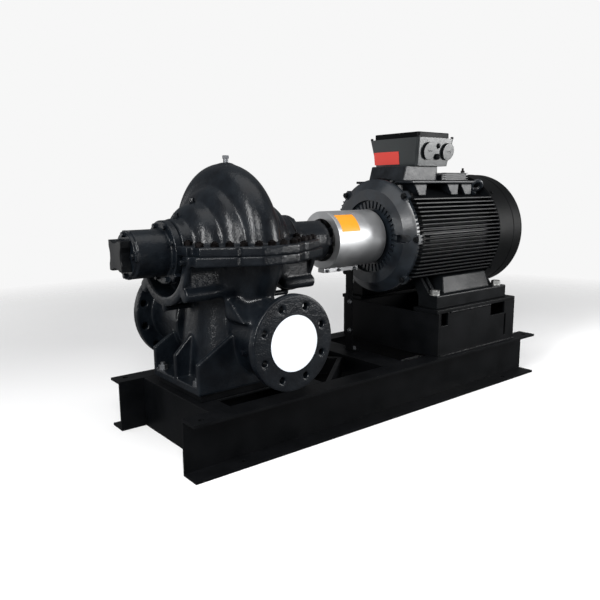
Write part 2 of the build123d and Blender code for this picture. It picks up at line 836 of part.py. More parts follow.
def make_shelf():
    """Flat land on top of the frame for the terminal box, with gussets and cooling fins."""
    plate = block(shelf_start_x, shelf_end_x, -shelf_half_width, shelf_half_width,
                  shelf_low, shelf_top)
    low = shelf_low - gusset_height
    for offset in gusset_tops:
        top = shelf_start_x + offset
        foot = top + gusset_lean
        corners = [(top, shelf_low), (foot, low), (foot + gusset_foot_width, low),
                   (top + gusset_top_width, shelf_low)]
        plate += slab_xz(corners, -gusset_half_width, gusset_half_width)
    for i in range(shelf_fin_count):
        y = shelf_fin_band * (i / (shelf_fin_count - 1) - 0.5)
        plate += block(shelf_fin_start_x, shelf_end_x, y - fin_thickness / 2, y + fin_thickness / 2,
                       shelf_top - shelf_thickness / 2, shelf_top + shelf_fin_height)
    return plate - along_x(shelf_start_x - cut_margin, shelf_end_x + cut_margin,
                           frame_core_radius + guard_clearance)


def make_box_neck():
    """Neck of the terminal box, spread at its foot towards the pump."""
    x0, x1 = neck_start_x, neck_start_x + neck_length
    corners = [(x0 - neck_flare, shelf_top), (x1, shelf_top), (x1, neck_top), (x0, neck_top)]
    return slab_xz(corners, -neck_half_width, neck_half_width)


def make_terminal_box():
    """A box whose floor is smaller than its rim."""
    middle = box_start_x + box_length / 2
    floor = Rectangle(box_length - 2 * box_taper_x, 2 * (box_half_width - box_taper_y))
    rim = Rectangle(box_length, 2 * box_half_width)
    box = loft([Plane((middle, 0, neck_top)) * floor, Plane((middle, 0, box_top)) * rim])
    return fillet(box.edges().group_by(Axis.Z)[1], box_corner)


def make_box_lid():
    """The lid of the terminal box, set in from its rim."""
    lid = block(box_start_x + box_lid_inset, box_start_x + box_length - box_lid_inset,
                -box_half_width + box_lid_inset, box_half_width - box_lid_inset,
                box_top, box_top + box_lid_height)
    return fillet(lid.edges().filter_by(Axis.Z), box_corner)


def make_cable_plug(side):
    """A round blanking plug on the sloping front of the terminal box."""
    x = box_start_x + box_length / 2 + cable_plug_offset + side * cable_plug_spacing / 2
    y = -box_half_width + box_taper_y * (1 - cable_plug_height / box_height)
    seat = Plane(origin=(x, y, neck_top + cable_plug_height), x_dir=(1, 0, 0),
                 z_dir=(0, -box_height, -box_taper_y))
    return extrude(seat * Circle(cable_plug_radius), cable_plug_reach)


def make_red_plate():
    """A thin plate on the pump side of the terminal box."""
    x = box_start_x + box_taper_x * (1 - red_plate_level / box_height)
    seat = Plane(origin=(x, red_plate_offset, neck_top + red_plate_level), x_dir=(0, -1, 0),
                 z_dir=(-box_height, 0, -box_taper_x))
    return extrude(seat * Rectangle(red_plate_width, red_plate_height), red_plate_thickness)


def build():
    """Makes and writes every piece."""
    save(make_rail(-1), "front_rail")
    save(make_rail(1), "rear_rail")
    pump_web = -half_base + end_setback
    save(make_crossmember(pump_web, pump_web + crossmember_flange), "pump_end_crossmember")
    inner_web = 2 * pump_x - pump_web
    save(make_crossmember(inner_web, inner_web - crossmember_flange), "pump_inner_crossmember")
    centre_web = centre_crossmember_x
    save(make_crossmember(centre_web, centre_web + centre_crossmember_width), "centre_crossmember")
    motor_web = half_base - end_setback
    save(make_crossmember(motor_web, motor_web - crossmember_flange), "motor_end_crossmember")
    for side, name in ((-1, "front"), (1, "rear")):
        save(make_bearer(side, pump_web + crossmember_flange, inner_web - crossmember_flange),
             name + "_foot_bearer")
        save(make_brace(side, inner_web, centre_web), name + "_diagonal_brace")

    pack_x, pack_y = foot_half_length - packing_setback, foot_half_width - packing_setback
    save(block(pump_x - pack_x, pump_x + pack_x, -pack_y, pack_y, base_top, foot_low),
         "pump_packing_plate")
    turned = casing_revolve()
    save(make_lower_casing(turned), "lower_casing")
    save(make_upper_casing(turned), "upper_casing")
    for end, name, length in ((-1, "free_end", free_housing_length),
                              (1, "drive_end", drive_housing_length)):
        save(make_bearing_housing(end, length), name + "_bearing_housing")
        save(make_bearing_cap(end, length, end > 0), name + "_bearing_cap")
    plug_z = shaft_height + volute_radius + vent_seat_rise
    save(upright(pump_x, 0, plug_z, plug_z + vent_plug_height, vent_plug_diameter / 2), "vent_plug")
    save(along_y(-discharge_reach - cover_disc_thickness, -discharge_reach,
                 discharge_cover_diameter / 2, pump_x, nozzle_height), "discharge_cover_disc")
    save(along_y(suction_reach, suction_reach + cover_disc_thickness,
                 suction_cover_diameter / 2, pump_x, nozzle_height), "suction_cover_disc")

    save(make_shaft_coupling(), "shaft_coupling")
    save(make_guard(), "coupling_guard")
    save(make_guard_seam(), "guard_seam")
    save(make_guard_plate(), "guard_plate")
    save(make_guard_bracket(), "guard_bracket")

    stator = make_stator()
    for side, name in ((-1, "front"), (1, "rear")):
        save(make_pedestal_face(side), name + "_pedestal_plate")
        save(make_pedestal_cap(side), name + "_pedestal_cap")
        save(make_motor_foot(side, stator), name + "_motor_foot")
    save(make_pedestal_nose(), "pedestal_pump_side_plate")
    save(make_pedestal_end(), "pedestal_end_plate")

    save(stator, "stator_frame")
    save(make_drive_shield(), "drive_end_shield")
    save(make_fan_shield(), "fan_end_shield")
    save(make_cowl(), "fan_cowl")
    save(make_shelf(), "terminal_box_shelf")
    save(make_box_neck(), "terminal_box_neck")
    save(make_terminal_box(), "terminal_box")
    save(make_box_lid(), "terminal_box_lid")
    save(make_cable_plug(-1), "pump_side_cable_plug")
    save(make_cable_plug(1), "fan_side_cable_plug")
    save(make_red_plate(), "terminal_box_plate")


build()
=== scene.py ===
import json
import math
import bmesh
import bpy
from mathutils import Matrix, Vector

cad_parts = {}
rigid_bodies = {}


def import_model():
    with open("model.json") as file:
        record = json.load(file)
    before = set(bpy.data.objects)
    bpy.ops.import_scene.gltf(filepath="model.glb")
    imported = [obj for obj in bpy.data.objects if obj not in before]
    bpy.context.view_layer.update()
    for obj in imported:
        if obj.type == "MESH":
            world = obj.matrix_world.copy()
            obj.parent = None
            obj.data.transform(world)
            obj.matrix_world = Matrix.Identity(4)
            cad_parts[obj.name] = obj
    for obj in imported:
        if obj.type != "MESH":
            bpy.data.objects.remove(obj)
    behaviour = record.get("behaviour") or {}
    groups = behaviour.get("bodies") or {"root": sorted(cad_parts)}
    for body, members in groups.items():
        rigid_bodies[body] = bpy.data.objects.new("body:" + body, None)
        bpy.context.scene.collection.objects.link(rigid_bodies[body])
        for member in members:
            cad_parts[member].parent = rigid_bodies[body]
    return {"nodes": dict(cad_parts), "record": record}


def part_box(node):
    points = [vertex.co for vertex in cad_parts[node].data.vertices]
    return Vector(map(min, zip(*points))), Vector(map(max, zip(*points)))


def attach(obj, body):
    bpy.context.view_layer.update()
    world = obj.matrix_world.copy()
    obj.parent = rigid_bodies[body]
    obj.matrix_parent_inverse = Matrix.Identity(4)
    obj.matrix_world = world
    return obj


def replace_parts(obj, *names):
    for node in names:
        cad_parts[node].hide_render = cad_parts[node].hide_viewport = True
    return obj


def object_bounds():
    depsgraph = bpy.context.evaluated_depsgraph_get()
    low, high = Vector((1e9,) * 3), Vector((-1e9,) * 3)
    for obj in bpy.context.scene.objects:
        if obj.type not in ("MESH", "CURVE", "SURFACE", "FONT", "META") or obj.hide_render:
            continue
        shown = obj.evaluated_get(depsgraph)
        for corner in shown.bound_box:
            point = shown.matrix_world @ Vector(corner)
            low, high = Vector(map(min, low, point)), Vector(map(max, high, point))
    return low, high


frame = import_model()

mm = 0.001
cadBox = [list(corner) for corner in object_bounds()]
scene = bpy.context.scene


def nodeBox(nodeName):
    # the low and the high corner of a CAD node, in mm
    return [[round(value / mm, 2) for value in corner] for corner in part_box(nodeName)]


def newPiece(name, mesh):
    piece = bpy.data.objects.new(name, mesh)
    scene.collection.objects.link(piece)
    return piece


def toLinear(hexColour):
    parts = [int(hexColour[i:i + 2], 16) / 255 for i in (1, 3, 5)]
    return [p / 12.92 if p <= 0.04045 else ((p + 0.055) / 1.055) ** 2.4 for p in parts] + [1.0]


def addNode(tree, kind, settings=None, values=None, links=None):
    node = tree.nodes.new(kind)
    for name, value in (settings or {}).items():
        setattr(node, name, value)
    for key, value in (values or {}).items():
        node.inputs[key].default_value = value
    for key, socket in (links or {}).items():
        tree.links.new(socket, node.inputs[key])
    return node


# Finishes


def newMaterial(name, shaderValues):
    material = bpy.data.materials.new(name)
    material.use_nodes = True
    tree = material.node_tree
    tree.nodes.clear()
    shader = addNode(tree, "ShaderNodeBsdfPrincipled", values=shaderValues)
    addNode(tree, "ShaderNodeOutputMaterial", links={"Surface": shader.outputs["BSDF"]})
    place = addNode(tree, "ShaderNodeTexCoord").outputs["Object"]
    return material, tree, shader, place


def noiseAt(tree, place, sizeMm, detail=3.0, stretch=None):
    # a noise whose lumps are about sizeMm across
    if stretch:
        mapping = addNode(tree, "ShaderNodeMapping", values={"Scale": stretch}, links={"Vector": place})
        place = mapping.outputs["Vector"]
    noise = addNode(tree, "ShaderNodeTexNoise", values={"Scale": 1 / (sizeMm * mm), "Detail": detail},
                    links={"Vector": place})
    return noise.outputs["Fac"]


def spreadTo(tree, value, low, high, fromLow=0.3, fromHigh=0.7):
    # maps a noise onto a range of roughness or mixing
    node = addNode(tree, "ShaderNodeMapRange", values={"From Min": fromLow, "From Max": fromHigh,
                                                       "To Min": low, "To Max": high},
                   links={"Value": value})
    return node.outputs["Result"]


def paintFinish(spec):
    # paint over cast or rolled steel: grain and slow waves in the coat, a little dust and a painted bluish
    # sheen on what faces up
    material, tree, shader, place = newMaterial(spec["name"], {
        "IOR": 1.5, "Specular IOR Level": spec["gloss"], "Coat Weight": spec["coat"],
        "Coat Roughness": spec["coatRoughness"]})
    cloud = noiseAt(tree, place, spec["cloudMm"])
    tone = addNode(tree, "ShaderNodeMix", {"data_type": "RGBA"},
                   links={"Factor": spreadTo(tree, cloud, 0.0, 1.0)})
    tone.inputs["A"].default_value = toLinear(spec["dark"])
    tone.inputs["B"].default_value = toLinear(spec["light"])
    normal = addNode(tree, "ShaderNodeNewGeometry").outputs["Normal"]
    upward = addNode(tree, "ShaderNodeSeparateXYZ", links={"Vector": normal}).outputs["Z"]
    speck = noiseAt(tree, place, spec["dustMm"], detail=6.0)
    dustAndSheenFrom = 0.55  # how far a face has to look up before the dust and painted sheen show on it
    thinnest = 0.35  # share of the dust and painted sheen that lies between the specks
    # dust with a painted sheen: faces that look up are mixed towards the light dust colour
    dustAndSheenUp = spreadTo(tree, upward, 0.0, spec["dust"], dustAndSheenFrom, 1.0)
    dustAndSheenShare = addNode(tree, "ShaderNodeMath", {"operation": "MULTIPLY"},
                    links={0: dustAndSheenUp, 1: spreadTo(tree, speck, thinnest, 1.0)})
    colour = addNode(tree, "ShaderNodeMix", {"data_type": "RGBA"},
                     links={"Factor": dustAndSheenShare.outputs[0], "A": tone.outputs["Result"]})
    colour.inputs["B"].default_value = toLinear(spec["dustColour"])
    tree.links.new(colour.outputs["Result"], shader.inputs["Base Color"])
    tree.links.new(spreadTo(tree, cloud, *spec["roughness"]), shader.inputs["Roughness"])
    waves = addNode(tree, "ShaderNodeBump", values={"Strength": 1.0, "Distance": spec["waveDepthMm"] * mm},
                    links={"Height": noiseAt(tree, place, spec["waveMm"], detail=2.0)})
    grain = addNode(tree, "ShaderNodeBump", values={"Strength": 1.0, "Distance": spec["grainDepthMm"] * mm},
                    links={"Height": noiseAt(tree, place, spec["grainMm"]),
                           "Normal": waves.outputs["Normal"]})
    tree.links.new(grain.outputs["Normal"], shader.inputs["Normal"])
    tree.links.new(grain.outputs["Normal"], shader.inputs["Coat Normal"])
    return material


# Alkyd enamel sprayed on sand-cast iron: blue-black, half gloss, the pebbled skin of the casting breaks
# up the highlights. Grain is drawn coarser than real (about 1 mm) so that it shows in the render.
castIronEnamel = paintFinish({
    "name": "castIronEnamel", "dark": "#04060a", "light": "#0b1015", "gloss": 0.1, "coat": 0.3,
    "coatRoughness": 0.14, "roughness": (0.38, 0.56), "cloudMm": 45, "dustMm": 9, "dust": 0.05,
    "dustColour": "#4c545b", "waveMm": 16, "waveDepthMm": 0.9, "grainMm": 3.8, "grainDepthMm": 0.6})
# The same enamel rolled on hot-rolled channel: flatter black, smooth mill skin, duller
rolledSteelEnamel = paintFinish({
    "name": "rolledSteelEnamel", "dark": "#030405", "light": "#08090b", "gloss": 0.06, "coat": 0.05,
    "coatRoughness": 0.22, "roughness": (0.42, 0.58), "cloudMm": 90, "dustMm": 14, "dust": 0.025,
    "dustColour": "#55565a", "waveMm": 60, "waveDepthMm": 0.7, "grainMm": 4.0, "grainDepthMm": 0.12})
# Satin stoving enamel on a finned iron frame: even black, fine skin
motorEnamel = paintFinish({
    "name": "motorEnamel", "dark": "#050607", "light": "#0b0d0f", "gloss": 0.06, "coat": 0.08,
    "coatRoughness": 0.16, "roughness": (0.36, 0.5), "cloudMm": 70, "dustMm": 10, "dust": 0.04,
    "dustColour": "#5a6066", "waveMm": 40, "waveDepthMm": 0.5, "grainMm": 3.0, "grainDepthMm": 0.14})
# The same enamel, glossier, on the turned face of the drive-end shield, its base painted a lighter slate blue
# than the frame's as a painted sheen
shieldEnamel = paintFinish({
    "name": "shieldEnamel", "dark": "#0a0d11", "light": "#151b21", "gloss": 0.3, "coat": 0.4,
    "coatRoughness": 0.2, "roughness": (0.32, 0.44), "cloudMm": 50, "dustMm": 8, "dust": 0.04,
    "dustColour": "#646c74", "waveMm": 30, "waveDepthMm": 0.4, "grainMm": 2.6, "grainDepthMm": 0.12})
# Neck and shelf under the terminal box: the same enamel over a rougher casting, duller
shelfEnamel = paintFinish({
    "name": "shelfEnamel", "dark": "#090b0e", "light": "#15191d", "gloss": 0.2, "coat": 0.2,
    "coatRoughness": 0.3, "roughness": (0.4, 0.56), "cloudMm": 30, "dustMm": 7, "dust": 0.05,
    "dustColour": "#646c74", "waveMm": 22, "waveDepthMm": 0.9, "grainMm": 2.8, "grainDepthMm": 0.25})
# Grey-green satin powder coat on a die-cast box: a fine stipple
boxPowderCoat = paintFinish({
    "name": "boxPowderCoat", "dark": "#15191a", "light": "#1d2223", "gloss": 0.4, "coat": 0.4,
    "coatRoughness": 0.28, "roughness": (0.32, 0.42), "cloudMm": 60, "dustMm": 6, "dust": 0.04,
    "dustColour": "#7b8080", "waveMm": 30, "waveDepthMm": 0.12, "grainMm": 2.2, "grainDepthMm": 0.1})
# Black powder coat on pressed lids and spun sheet steel: hardly any highlight
sheetPowderCoat = paintFinish({
    "name": "sheetPowderCoat", "dark": "#060707", "light": "#0a0b0c", "gloss": 0.05, "coat": 0.02,
    "coatRoughness": 0.3, "roughness": (0.42, 0.52), "cloudMm": 110, "dustMm": 12, "dust": 0.02,
    "dustColour": "#55585a", "waveMm": 120, "waveDepthMm": 0.4, "grainMm": 2.2, "grainDepthMm": 0.06})


def steelFinish(spec):
    # bare or plated steel with fine lines in one direction
    material, tree, shader, place = newMaterial(spec["name"], {
        "Base Color": toLinear(spec["colour"]), "Metallic": 1.0})
    lines = noiseAt(tree, place, spec["lineMm"], detail=4.0, stretch=spec["stretch"])
    cloud = noiseAt(tree, place, spec["cloudMm"])
    both = addNode(tree, "ShaderNodeMath", {"operation": "ADD"}, links={0: lines, 1: cloud})
    sumLow, sumHigh = 0.7, 1.3  # where most of the two added noises lies
    uneven = spreadTo(tree, both.outputs[0], *spec["roughness"], sumLow, sumHigh)
    tree.links.new(uneven, shader.inputs["Roughness"])
    bump = addNode(tree, "ShaderNodeBump", values={"Strength": 1.0, "Distance": spec["lineDepthMm"] * mm},
                   links={"Height": lines})
    tree.links.new(bump.outputs["Normal"], shader.inputs["Normal"])
    return material


# Stainless sheet, brushed: fine lines run round the guard, so the pattern is drawn out in Y and Z
brushedStainless = steelFinish({"name": "brushedStainless", "colour": "#c0c1c2", "roughness": (0.4, 0.56),
                                "lineMm": 2.6, "stretch": (1.0, 0.06, 0.06), "cloudMm": 60,
                                "lineDepthMm": 0.07})
# Bright zinc plate on bolts and nuts
zincPlate = steelFinish({"name": "zincPlate", "colour": "#a9aaa8", "roughness": (0.3, 0.45), "lineMm": 1.5,
                         "stretch": (1.0, 1.0, 1.0), "cloudMm": 20, "lineDepthMm": 0.02})
# Zinc plate gone dull: grey on the vent plug, the nuts of the pump's foot and those of the guard
agedZinc = steelFinish({"name": "agedZinc", "colour": "#6d6f72", "roughness": (0.42, 0.6), "lineMm": 2.0,
                        "stretch": (1.0, 1.0, 1.0), "cloudMm": 8, "lineDepthMm": 0.05})
# Blackened nuts and studs: near black with a little brown, darkened further as painted shade for the nuts
# that sit in shadow
wornFastener = steelFinish({"name": "wornFastener", "colour": "#151313", "roughness": (0.4, 0.6),
                            "lineMm": 2.5, "stretch": (1.0, 1.0, 1.0), "cloudMm": 12, "lineDepthMm": 0.05})


def plasticFinish(spec):
    # moulded or printed plastic: even colour, smooth
    material, tree, shader, place = newMaterial(spec["name"], {
        "Base Color": toLinear(spec["colour"]), "IOR": 1.49, "Coat Weight": spec["coat"],
        "Coat Roughness": 0.1})
    cloud = noiseAt(tree, place, spec["cloudMm"])
    tree.links.new(spreadTo(tree, cloud, *spec["roughness"]), shader.inputs["Roughness"])
    return material


# Glossy white polyethylene on the cover, amber and red self-adhesive vinyl on the plates, all one colour
whitePolyethylene = plasticFinish({"name": "whitePolyethylene", "colour": "#ccd1d7", "coat": 0.2,
                                   "roughness": (0.3, 0.4), "cloudMm": 50})
amberVinyl = plasticFinish({"name": "amberVinyl", "colour": "#d98b14", "coat": 0.1, "roughness": (0.4, 0.5),
                            "cloudMm": 50})
redVinyl = plasticFinish({"name": "redVinyl", "colour": "#b9342b", "coat": 0.1, "roughness": (0.4, 0.5),
                          "cloudMm": 50})
print("finishes made")

# Pieces that take their shape from the CAD nodes

finishOf = {
    "casting_paint": castIronEnamel, "frame_paint": rolledSteelEnamel, "motor_paint": motorEnamel,
    "terminal_box_paint": boxPowderCoat, "cowl_paint": sheetPowderCoat, "guard_steel": brushedStainless,
    "bright_steel": zincPlate, "white_cover": whitePolyethylene, "dark_cover": sheetPowderCoat,
    "amber_plate": amberVinyl, "red_plate": redVinyl}
slotOf = {row["node"]: row["material_slot"] for row in frame["record"]["subparts"]}
ownFinish = {  # nodes whose surface differs from the rest of their slot
    "drive_end_shield": shieldEnamel, "terminal_box_shelf": shelfEnamel, "terminal_box_neck": shelfEnamel,
    "terminal_box_lid": sheetPowderCoat, "free_end_bearing_cap": motorEnamel,
    "drive_end_bearing_cap": motorEnamel}


def nodeFinish(nodeName):
    return ownFinish.get(nodeName, finishOf[slotOf[nodeName]])


for nodeName, node in frame["nodes"].items():
    node.data.materials.clear()
    node.data.materials.append(nodeFinish(nodeName))


def camelName(nodeName):
    first, *rest = nodeName.split("_")
    return first + "".join(word.capitalize() for word in rest)


skin = {"mergeWithin": 0.01, "flatWithin": 0.6, "bevelFrom": 32, "plateSharp": 50, "castSharp": 80,
        "weightSteps": 8, "crispHold": 0.8, "crispFade": 2}


def mergedCopy(nodeName):
    # the node's triangles joined to a closed skin, flat faces made whole again
    shape = bmesh.new()
    shape.from_mesh(frame["nodes"][nodeName].data)
    bmesh.ops.remove_doubles(shape, verts=shape.verts, dist=skin["mergeWithin"] * mm)
    mesh = bpy.data.meshes.new(camelName(nodeName))
    bmesh.ops.dissolve_limit(shape, angle_limit=math.radians(skin["flatWithin"]), verts=shape.verts,
                             edges=shape.edges)
    shape.to_mesh(mesh)
    shape.free()
    for attribute in [a for a in mesh.attributes if a.name == "custom_normal"]:
        mesh.attributes.remove(attribute)
    mesh.materials.clear()
    mesh.materials.append(nodeFinish(nodeName))
    return newPiece(camelName(nodeName), mesh)


def makePlain(piece):
    # the mesh that the live modifiers give takes their place
    bpy.context.view_layer.update()
    shown = piece.evaluated_get(bpy.context.evaluated_depsgraph_get())
    mesh = bpy.data.meshes.new_from_object(shown)
    piece.modifiers.clear()
    piece.data = mesh


def freeze(piece, sharpDegrees):
    # a plain mesh, smooth up to the angle given
    makePlain(piece)
    piece.data.shade_smooth()
    piece.data.set_sharp_from_angle(angle=math.radians(sharpDegrees))
    return piece


def standFor(piece, nodeName):
    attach(piece, "root")
    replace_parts(piece, nodeName)


def bevelledPiece(nodeName, widthMm):
    # plate work and machined pieces: every edge broken by a small bevel, the faces between left flat
    piece = mergedCopy(nodeName)
    bevel = piece.modifiers.new("edges", "BEVEL")
    bevel.width = widthMm * mm
    bevel.segments = 2
    bevel.limit_method = "ANGLE"
    bevel.angle_limit = math.radians(skin["bevelFrom"])
    freeze(piece, skin["plateSharp"])
    flat = piece.modifiers.new("flatFaces", "WEIGHTED_NORMAL")
    flat.keep_sharp = True
    makePlain(piece)
    standFor(piece, nodeName)


def depthIn(place, zone, fade):
    # 1 well inside a box in mm, 0 outside it, sloping over the fade near its walls
    inside = min(min(place[i] - low, high - place[i]) for i, (low, high) in enumerate(zone))
    return max(0.0, min(1.0, inside / fade))


def smoothBy(piece, name, rounds, weightAt):
    # rounds of smoothing, each vertex as far as its weight says
    group = piece.vertex_groups.new(name=name)
    steps = skin["weightSteps"]
    shares = {}
    for vertex in piece.data.vertices:
        share = round(weightAt(vertex.co / mm) * steps)
        shares.setdefault(share, []).append(vertex.index)
    for share, vertices in shares.items():
        group.add(vertices, share / steps, "REPLACE")
    smooth = piece.modifiers.new(name, "SMOOTH")
    smooth.factor = 0.5
    smooth.iterations = rounds
    smooth.vertex_group = name


def castPiece(nodeName, spec):
    # castings: corners and inner angles rounded off as the sand mould leaves them
    piece = mergedCopy(nodeName)
    remesh = piece.modifiers.new("skin", "REMESH")
    remesh.mode = "VOXEL"
    remesh.voxel_size = spec["voxel"] * mm
    freeze(piece, skin["castSharp"])
    crisp = spec.get("crisp", [])
    soft = spec.get("soft", [])

    def edgeWeight(place):
        held = max([depthIn(place, zone, skin["crispFade"]) for zone in crisp], default=0)
        return 1 - skin["crispHold"] * held

    smoothBy(piece, "edges", spec["rounds"], edgeWeight)
    if soft:
        smoothBy(piece, "hollows", spec["softRounds"],
                 lambda place: max(depthIn(place, zone, spec["fade"]) for zone in soft))
    thin = piece.modifiers.new("fewerFaces", "DECIMATE")
    thin.ratio = spec["kept"]
    standFor(freeze(piece, skin["castSharp"]), nodeName)
    piece.vertex_groups.clear()


# the pump's casing in boxes of (x, y, z) reaches: faces that a machine has trued, and hollows that flow
anywhere = (-2000, 2000)
casingZone = {
    "upperSplitEdge": (anywhere, anywhere, (560, 594)),
    "lowerSplitEdge": (anywhere, anywhere, (559, 590)),
    "dischargeFlange": (anywhere, (-330, -292), anywhere),
    "suctionFlange": (anywhere, (298, 340), anywhere),
    "footPlate": (anywhere, anywhere, (170, 200)),
    "domeAndShoulders": ((-720, -270), anywhere, (606, 900)),
    "upperBody": ((-632, -358), (-302, 302), (352, 540)),
    "dischargeNeck": ((-632, -358), (-298, -143), (200, 540)),
    "suctionNeck": ((-680, -310), (143, 304), (150, 540))}
# voxel size, rounds of smoothing, share of the faces kept, zones that stay crisp, and hollows with wide
# fillets
castNodes = {
    "upper_casing": {"voxel": 2.9, "rounds": 7, "kept": 0.9, "softRounds": 70, "fade": 20,
                     "crisp": [casingZone["upperSplitEdge"]], "soft": [casingZone["domeAndShoulders"]]},
    "lower_casing": {"voxel": 3.3, "rounds": 6, "kept": 0.5, "softRounds": 110, "fade": 16,
                     "crisp": [casingZone["lowerSplitEdge"], casingZone["dischargeFlange"],
                               casingZone["suctionFlange"], casingZone["footPlate"]],
                     "soft": [casingZone["upperBody"], casingZone["dischargeNeck"],
                              casingZone["suctionNeck"]]},
    "free_end_bearing_housing": {"voxel": 1.9, "rounds": 5, "kept": 0.7},
    "drive_end_bearing_housing": {"voxel": 1.9, "rounds": 5, "kept": 0.7},
    "free_end_bearing_cap": {"voxel": 1.4, "rounds": 5, "kept": 1.0},
    "drive_end_bearing_cap": {"voxel": 1.4, "rounds": 5, "kept": 1.0},
    "front_motor_foot": {"voxel": 2.2, "rounds": 4, "kept": 0.5},
    "rear_motor_foot": {"voxel": 2.2, "rounds": 4, "kept": 0.5},
    "terminal_box_shelf": {"voxel": 2.4, "rounds": 3, "kept": 0.5}}
plateNodes = {  # bevel width in mm
    "front_rail": 1.6, "rear_rail": 1.6, "pump_end_crossmember": 1.6, "pump_inner_crossmember": 1.6,
    "centre_crossmember": 1.6, "motor_end_crossmember": 1.6, "front_foot_bearer": 1.6,
    "rear_foot_bearer": 1.6, "front_diagonal_brace": 1.6, "rear_diagonal_brace": 1.6,
    "pump_packing_plate": 1.8, "guard_bracket": 1.0, "guard_seam": 0.8, "coupling_guard": 0.7,
    "front_pedestal_plate": 1.2, "rear_pedestal_plate": 1.2, "front_pedestal_cap": 2.0,
    "rear_pedestal_cap": 2.0, "pedestal_pump_side_plate": 1.2, "pedestal_end_plate": 1.2,
    "stator_frame": 0.9, "drive_end_shield": 1.8, "fan_end_shield": 1.5, "fan_cowl": 0.8,
    "terminal_box_neck": 3.0, "terminal_box": 2.2, "terminal_box_lid": 2.5,
    "pump_side_cable_plug": 1.6, "fan_side_cable_plug": 1.6, "shaft_coupling": 1.5,
    "discharge_cover_disc": 0.8, "suction_cover_disc": 0.8}
for nodeName, spec in castNodes.items():
    castPiece(nodeName, spec)
for nodeName, widthMm in plateNodes.items():
    bevelledPiece(nodeName, widthMm)
rimShadeTurn = 0.9  # a plug's faces that look along Y by less than this take black enamel, a painted shadow round the rim
# painted shadow: each plug's sides get the black motor enamel as the dark gap round the disc
for name in ("pumpSideCablePlug", "fanSideCablePlug"):
    plugMesh = bpy.data.objects[name].data
    plugMesh.materials.append(motorEnamel)
    for face in plugMesh.polygons:
        face.material_index = int(abs(face.normal.y) < rimShadeTurn)
print("CAD shapes dressed")

# Fasteners: one tree makes hexagon heads or nuts with washer and stud end on given points


fastenerForm = {"washerSides": 20, "studSides": 12, "chamferHeight": 0.14, "headTop": 0.86, "studTop": 0.8}


def fastenerTree():
    form = fastenerForm
    tree = bpy.data.node_groups.new("hexFasteners", "GeometryNodeTree")
    tree.interface.new_socket("Points", in_out="INPUT", socket_type="NodeSocketGeometry")
    for name in ("Head Radius", "Head Height", "Washer Radius", "Washer Height", "Stud Radius",
                 "Stud Length"):
        tree.interface.new_socket(name, in_out="INPUT", socket_type="NodeSocketFloat")
    tree.interface.new_socket("Seed", in_out="INPUT", socket_type="NodeSocketInt")
    tree.interface.new_socket("Finish", in_out="INPUT", socket_type="NodeSocketMaterial")
    tree.interface.new_socket("Fasteners", in_out="OUTPUT", socket_type="NodeSocketGeometry")
    given = addNode(tree, "NodeGroupInput").outputs

    def lifted(mesh, height):
        # the pieces grow upward from the seat
        shift = addNode(tree, "ShaderNodeCombineXYZ", links={"Z": height}).outputs["Vector"]
        return addNode(tree, "GeometryNodeTransform", links={"Geometry": mesh, "Translation": shift})

    def maths(operation, first, second):
        node = addNode(tree, "ShaderNodeMath", {"operation": operation}, links={0: first})
        if isinstance(second, float):
            node.inputs[1].default_value = second
        else:
            tree.links.new(second, node.inputs[1])
        return node.outputs[0]

    def chamfered(sides, radius, height, shrink):
        # a prism whose upper end is turned down to a smaller face
        prism = addNode(tree, "GeometryNodeMeshCylinder", values={"Vertices": sides},
                        links={"Radius": radius, "Depth": height})
        top = addNode(tree, "GeometryNodeExtrudeMesh",
                      links={"Mesh": prism.outputs["Mesh"], "Selection": prism.outputs["Top"],
                             "Offset Scale": maths("MULTIPLY", height, form["chamferHeight"])})
        return addNode(tree, "GeometryNodeScaleElements", values={"Scale": shrink},
                       links={"Geometry": top.outputs["Mesh"], "Selection": top.outputs["Top"]})

    washer = addNode(tree, "GeometryNodeMeshCylinder", values={"Vertices": form["washerSides"]},
                     links={"Radius": given["Washer Radius"], "Depth": given["Washer Height"]})
    washerUp = lifted(washer.outputs["Mesh"], maths("MULTIPLY", given["Washer Height"], 0.5))
    head = chamfered(6, given["Head Radius"], given["Head Height"], form["headTop"])
    headMiddle = maths("MULTIPLY", given["Head Height"], 0.5)
    headUp = lifted(head.outputs["Geometry"], maths("ADD", given["Washer Height"], headMiddle))
    stud = chamfered(form["studSides"], given["Stud Radius"], given["Stud Length"], form["studTop"])
    studMiddle = maths("MULTIPLY", given["Stud Length"], 0.5)
    headTop = maths("ADD", given["Washer Height"], given["Head Height"])
    studUp = lifted(stud.outputs["Geometry"], maths("ADD", headTop, studMiddle))
    joined = addNode(tree, "GeometryNodeJoinGeometry")
    for part in (studUp, headUp, washerUp):
        tree.links.new(part.outputs["Geometry"], joined.inputs["Geometry"])
    facing = addNode(tree, "GeometryNodeInputNamedAttribute", {"data_type": "FLOAT_VECTOR"},
                     values={"Name": "facing"})
    aim = addNode(tree, "FunctionNodeAlignRotationToVector", {"axis": "Z"},
                  links={"Vector": facing.outputs["Attribute"]})
    placed = addNode(tree, "GeometryNodeInstanceOnPoints",
                     links={"Points": given["Points"], "Instance": joined.outputs["Geometry"],
                            "Rotation": aim.outputs["Rotation"]})
    turn = addNode(tree, "FunctionNodeRandomValue", {"data_type": "FLOAT_VECTOR"},
                   links={"Seed": given["Seed"]})
    turn.inputs["Min"].default_value = (0, 0, 0)
    turn.inputs["Max"].default_value = (0, 0, math.radians(60))
    turned = addNode(tree, "GeometryNodeRotateInstances",
                     links={"Instances": placed.outputs["Instances"], "Rotation": turn.outputs["Value"]})
    real = addNode(tree, "GeometryNodeRealizeInstances",
                   links={"Geometry": turned.outputs["Instances"]})
    painted = addNode(tree, "GeometryNodeSetMaterial",
                      links={"Geometry": real.outputs["Geometry"], "Material": given["Finish"]})
    addNode(tree, "NodeGroupOutput", links={"Fasteners": painted.outputs["Geometry"]})
    return tree


hexTree = fastenerTree()
builtSharp = 35


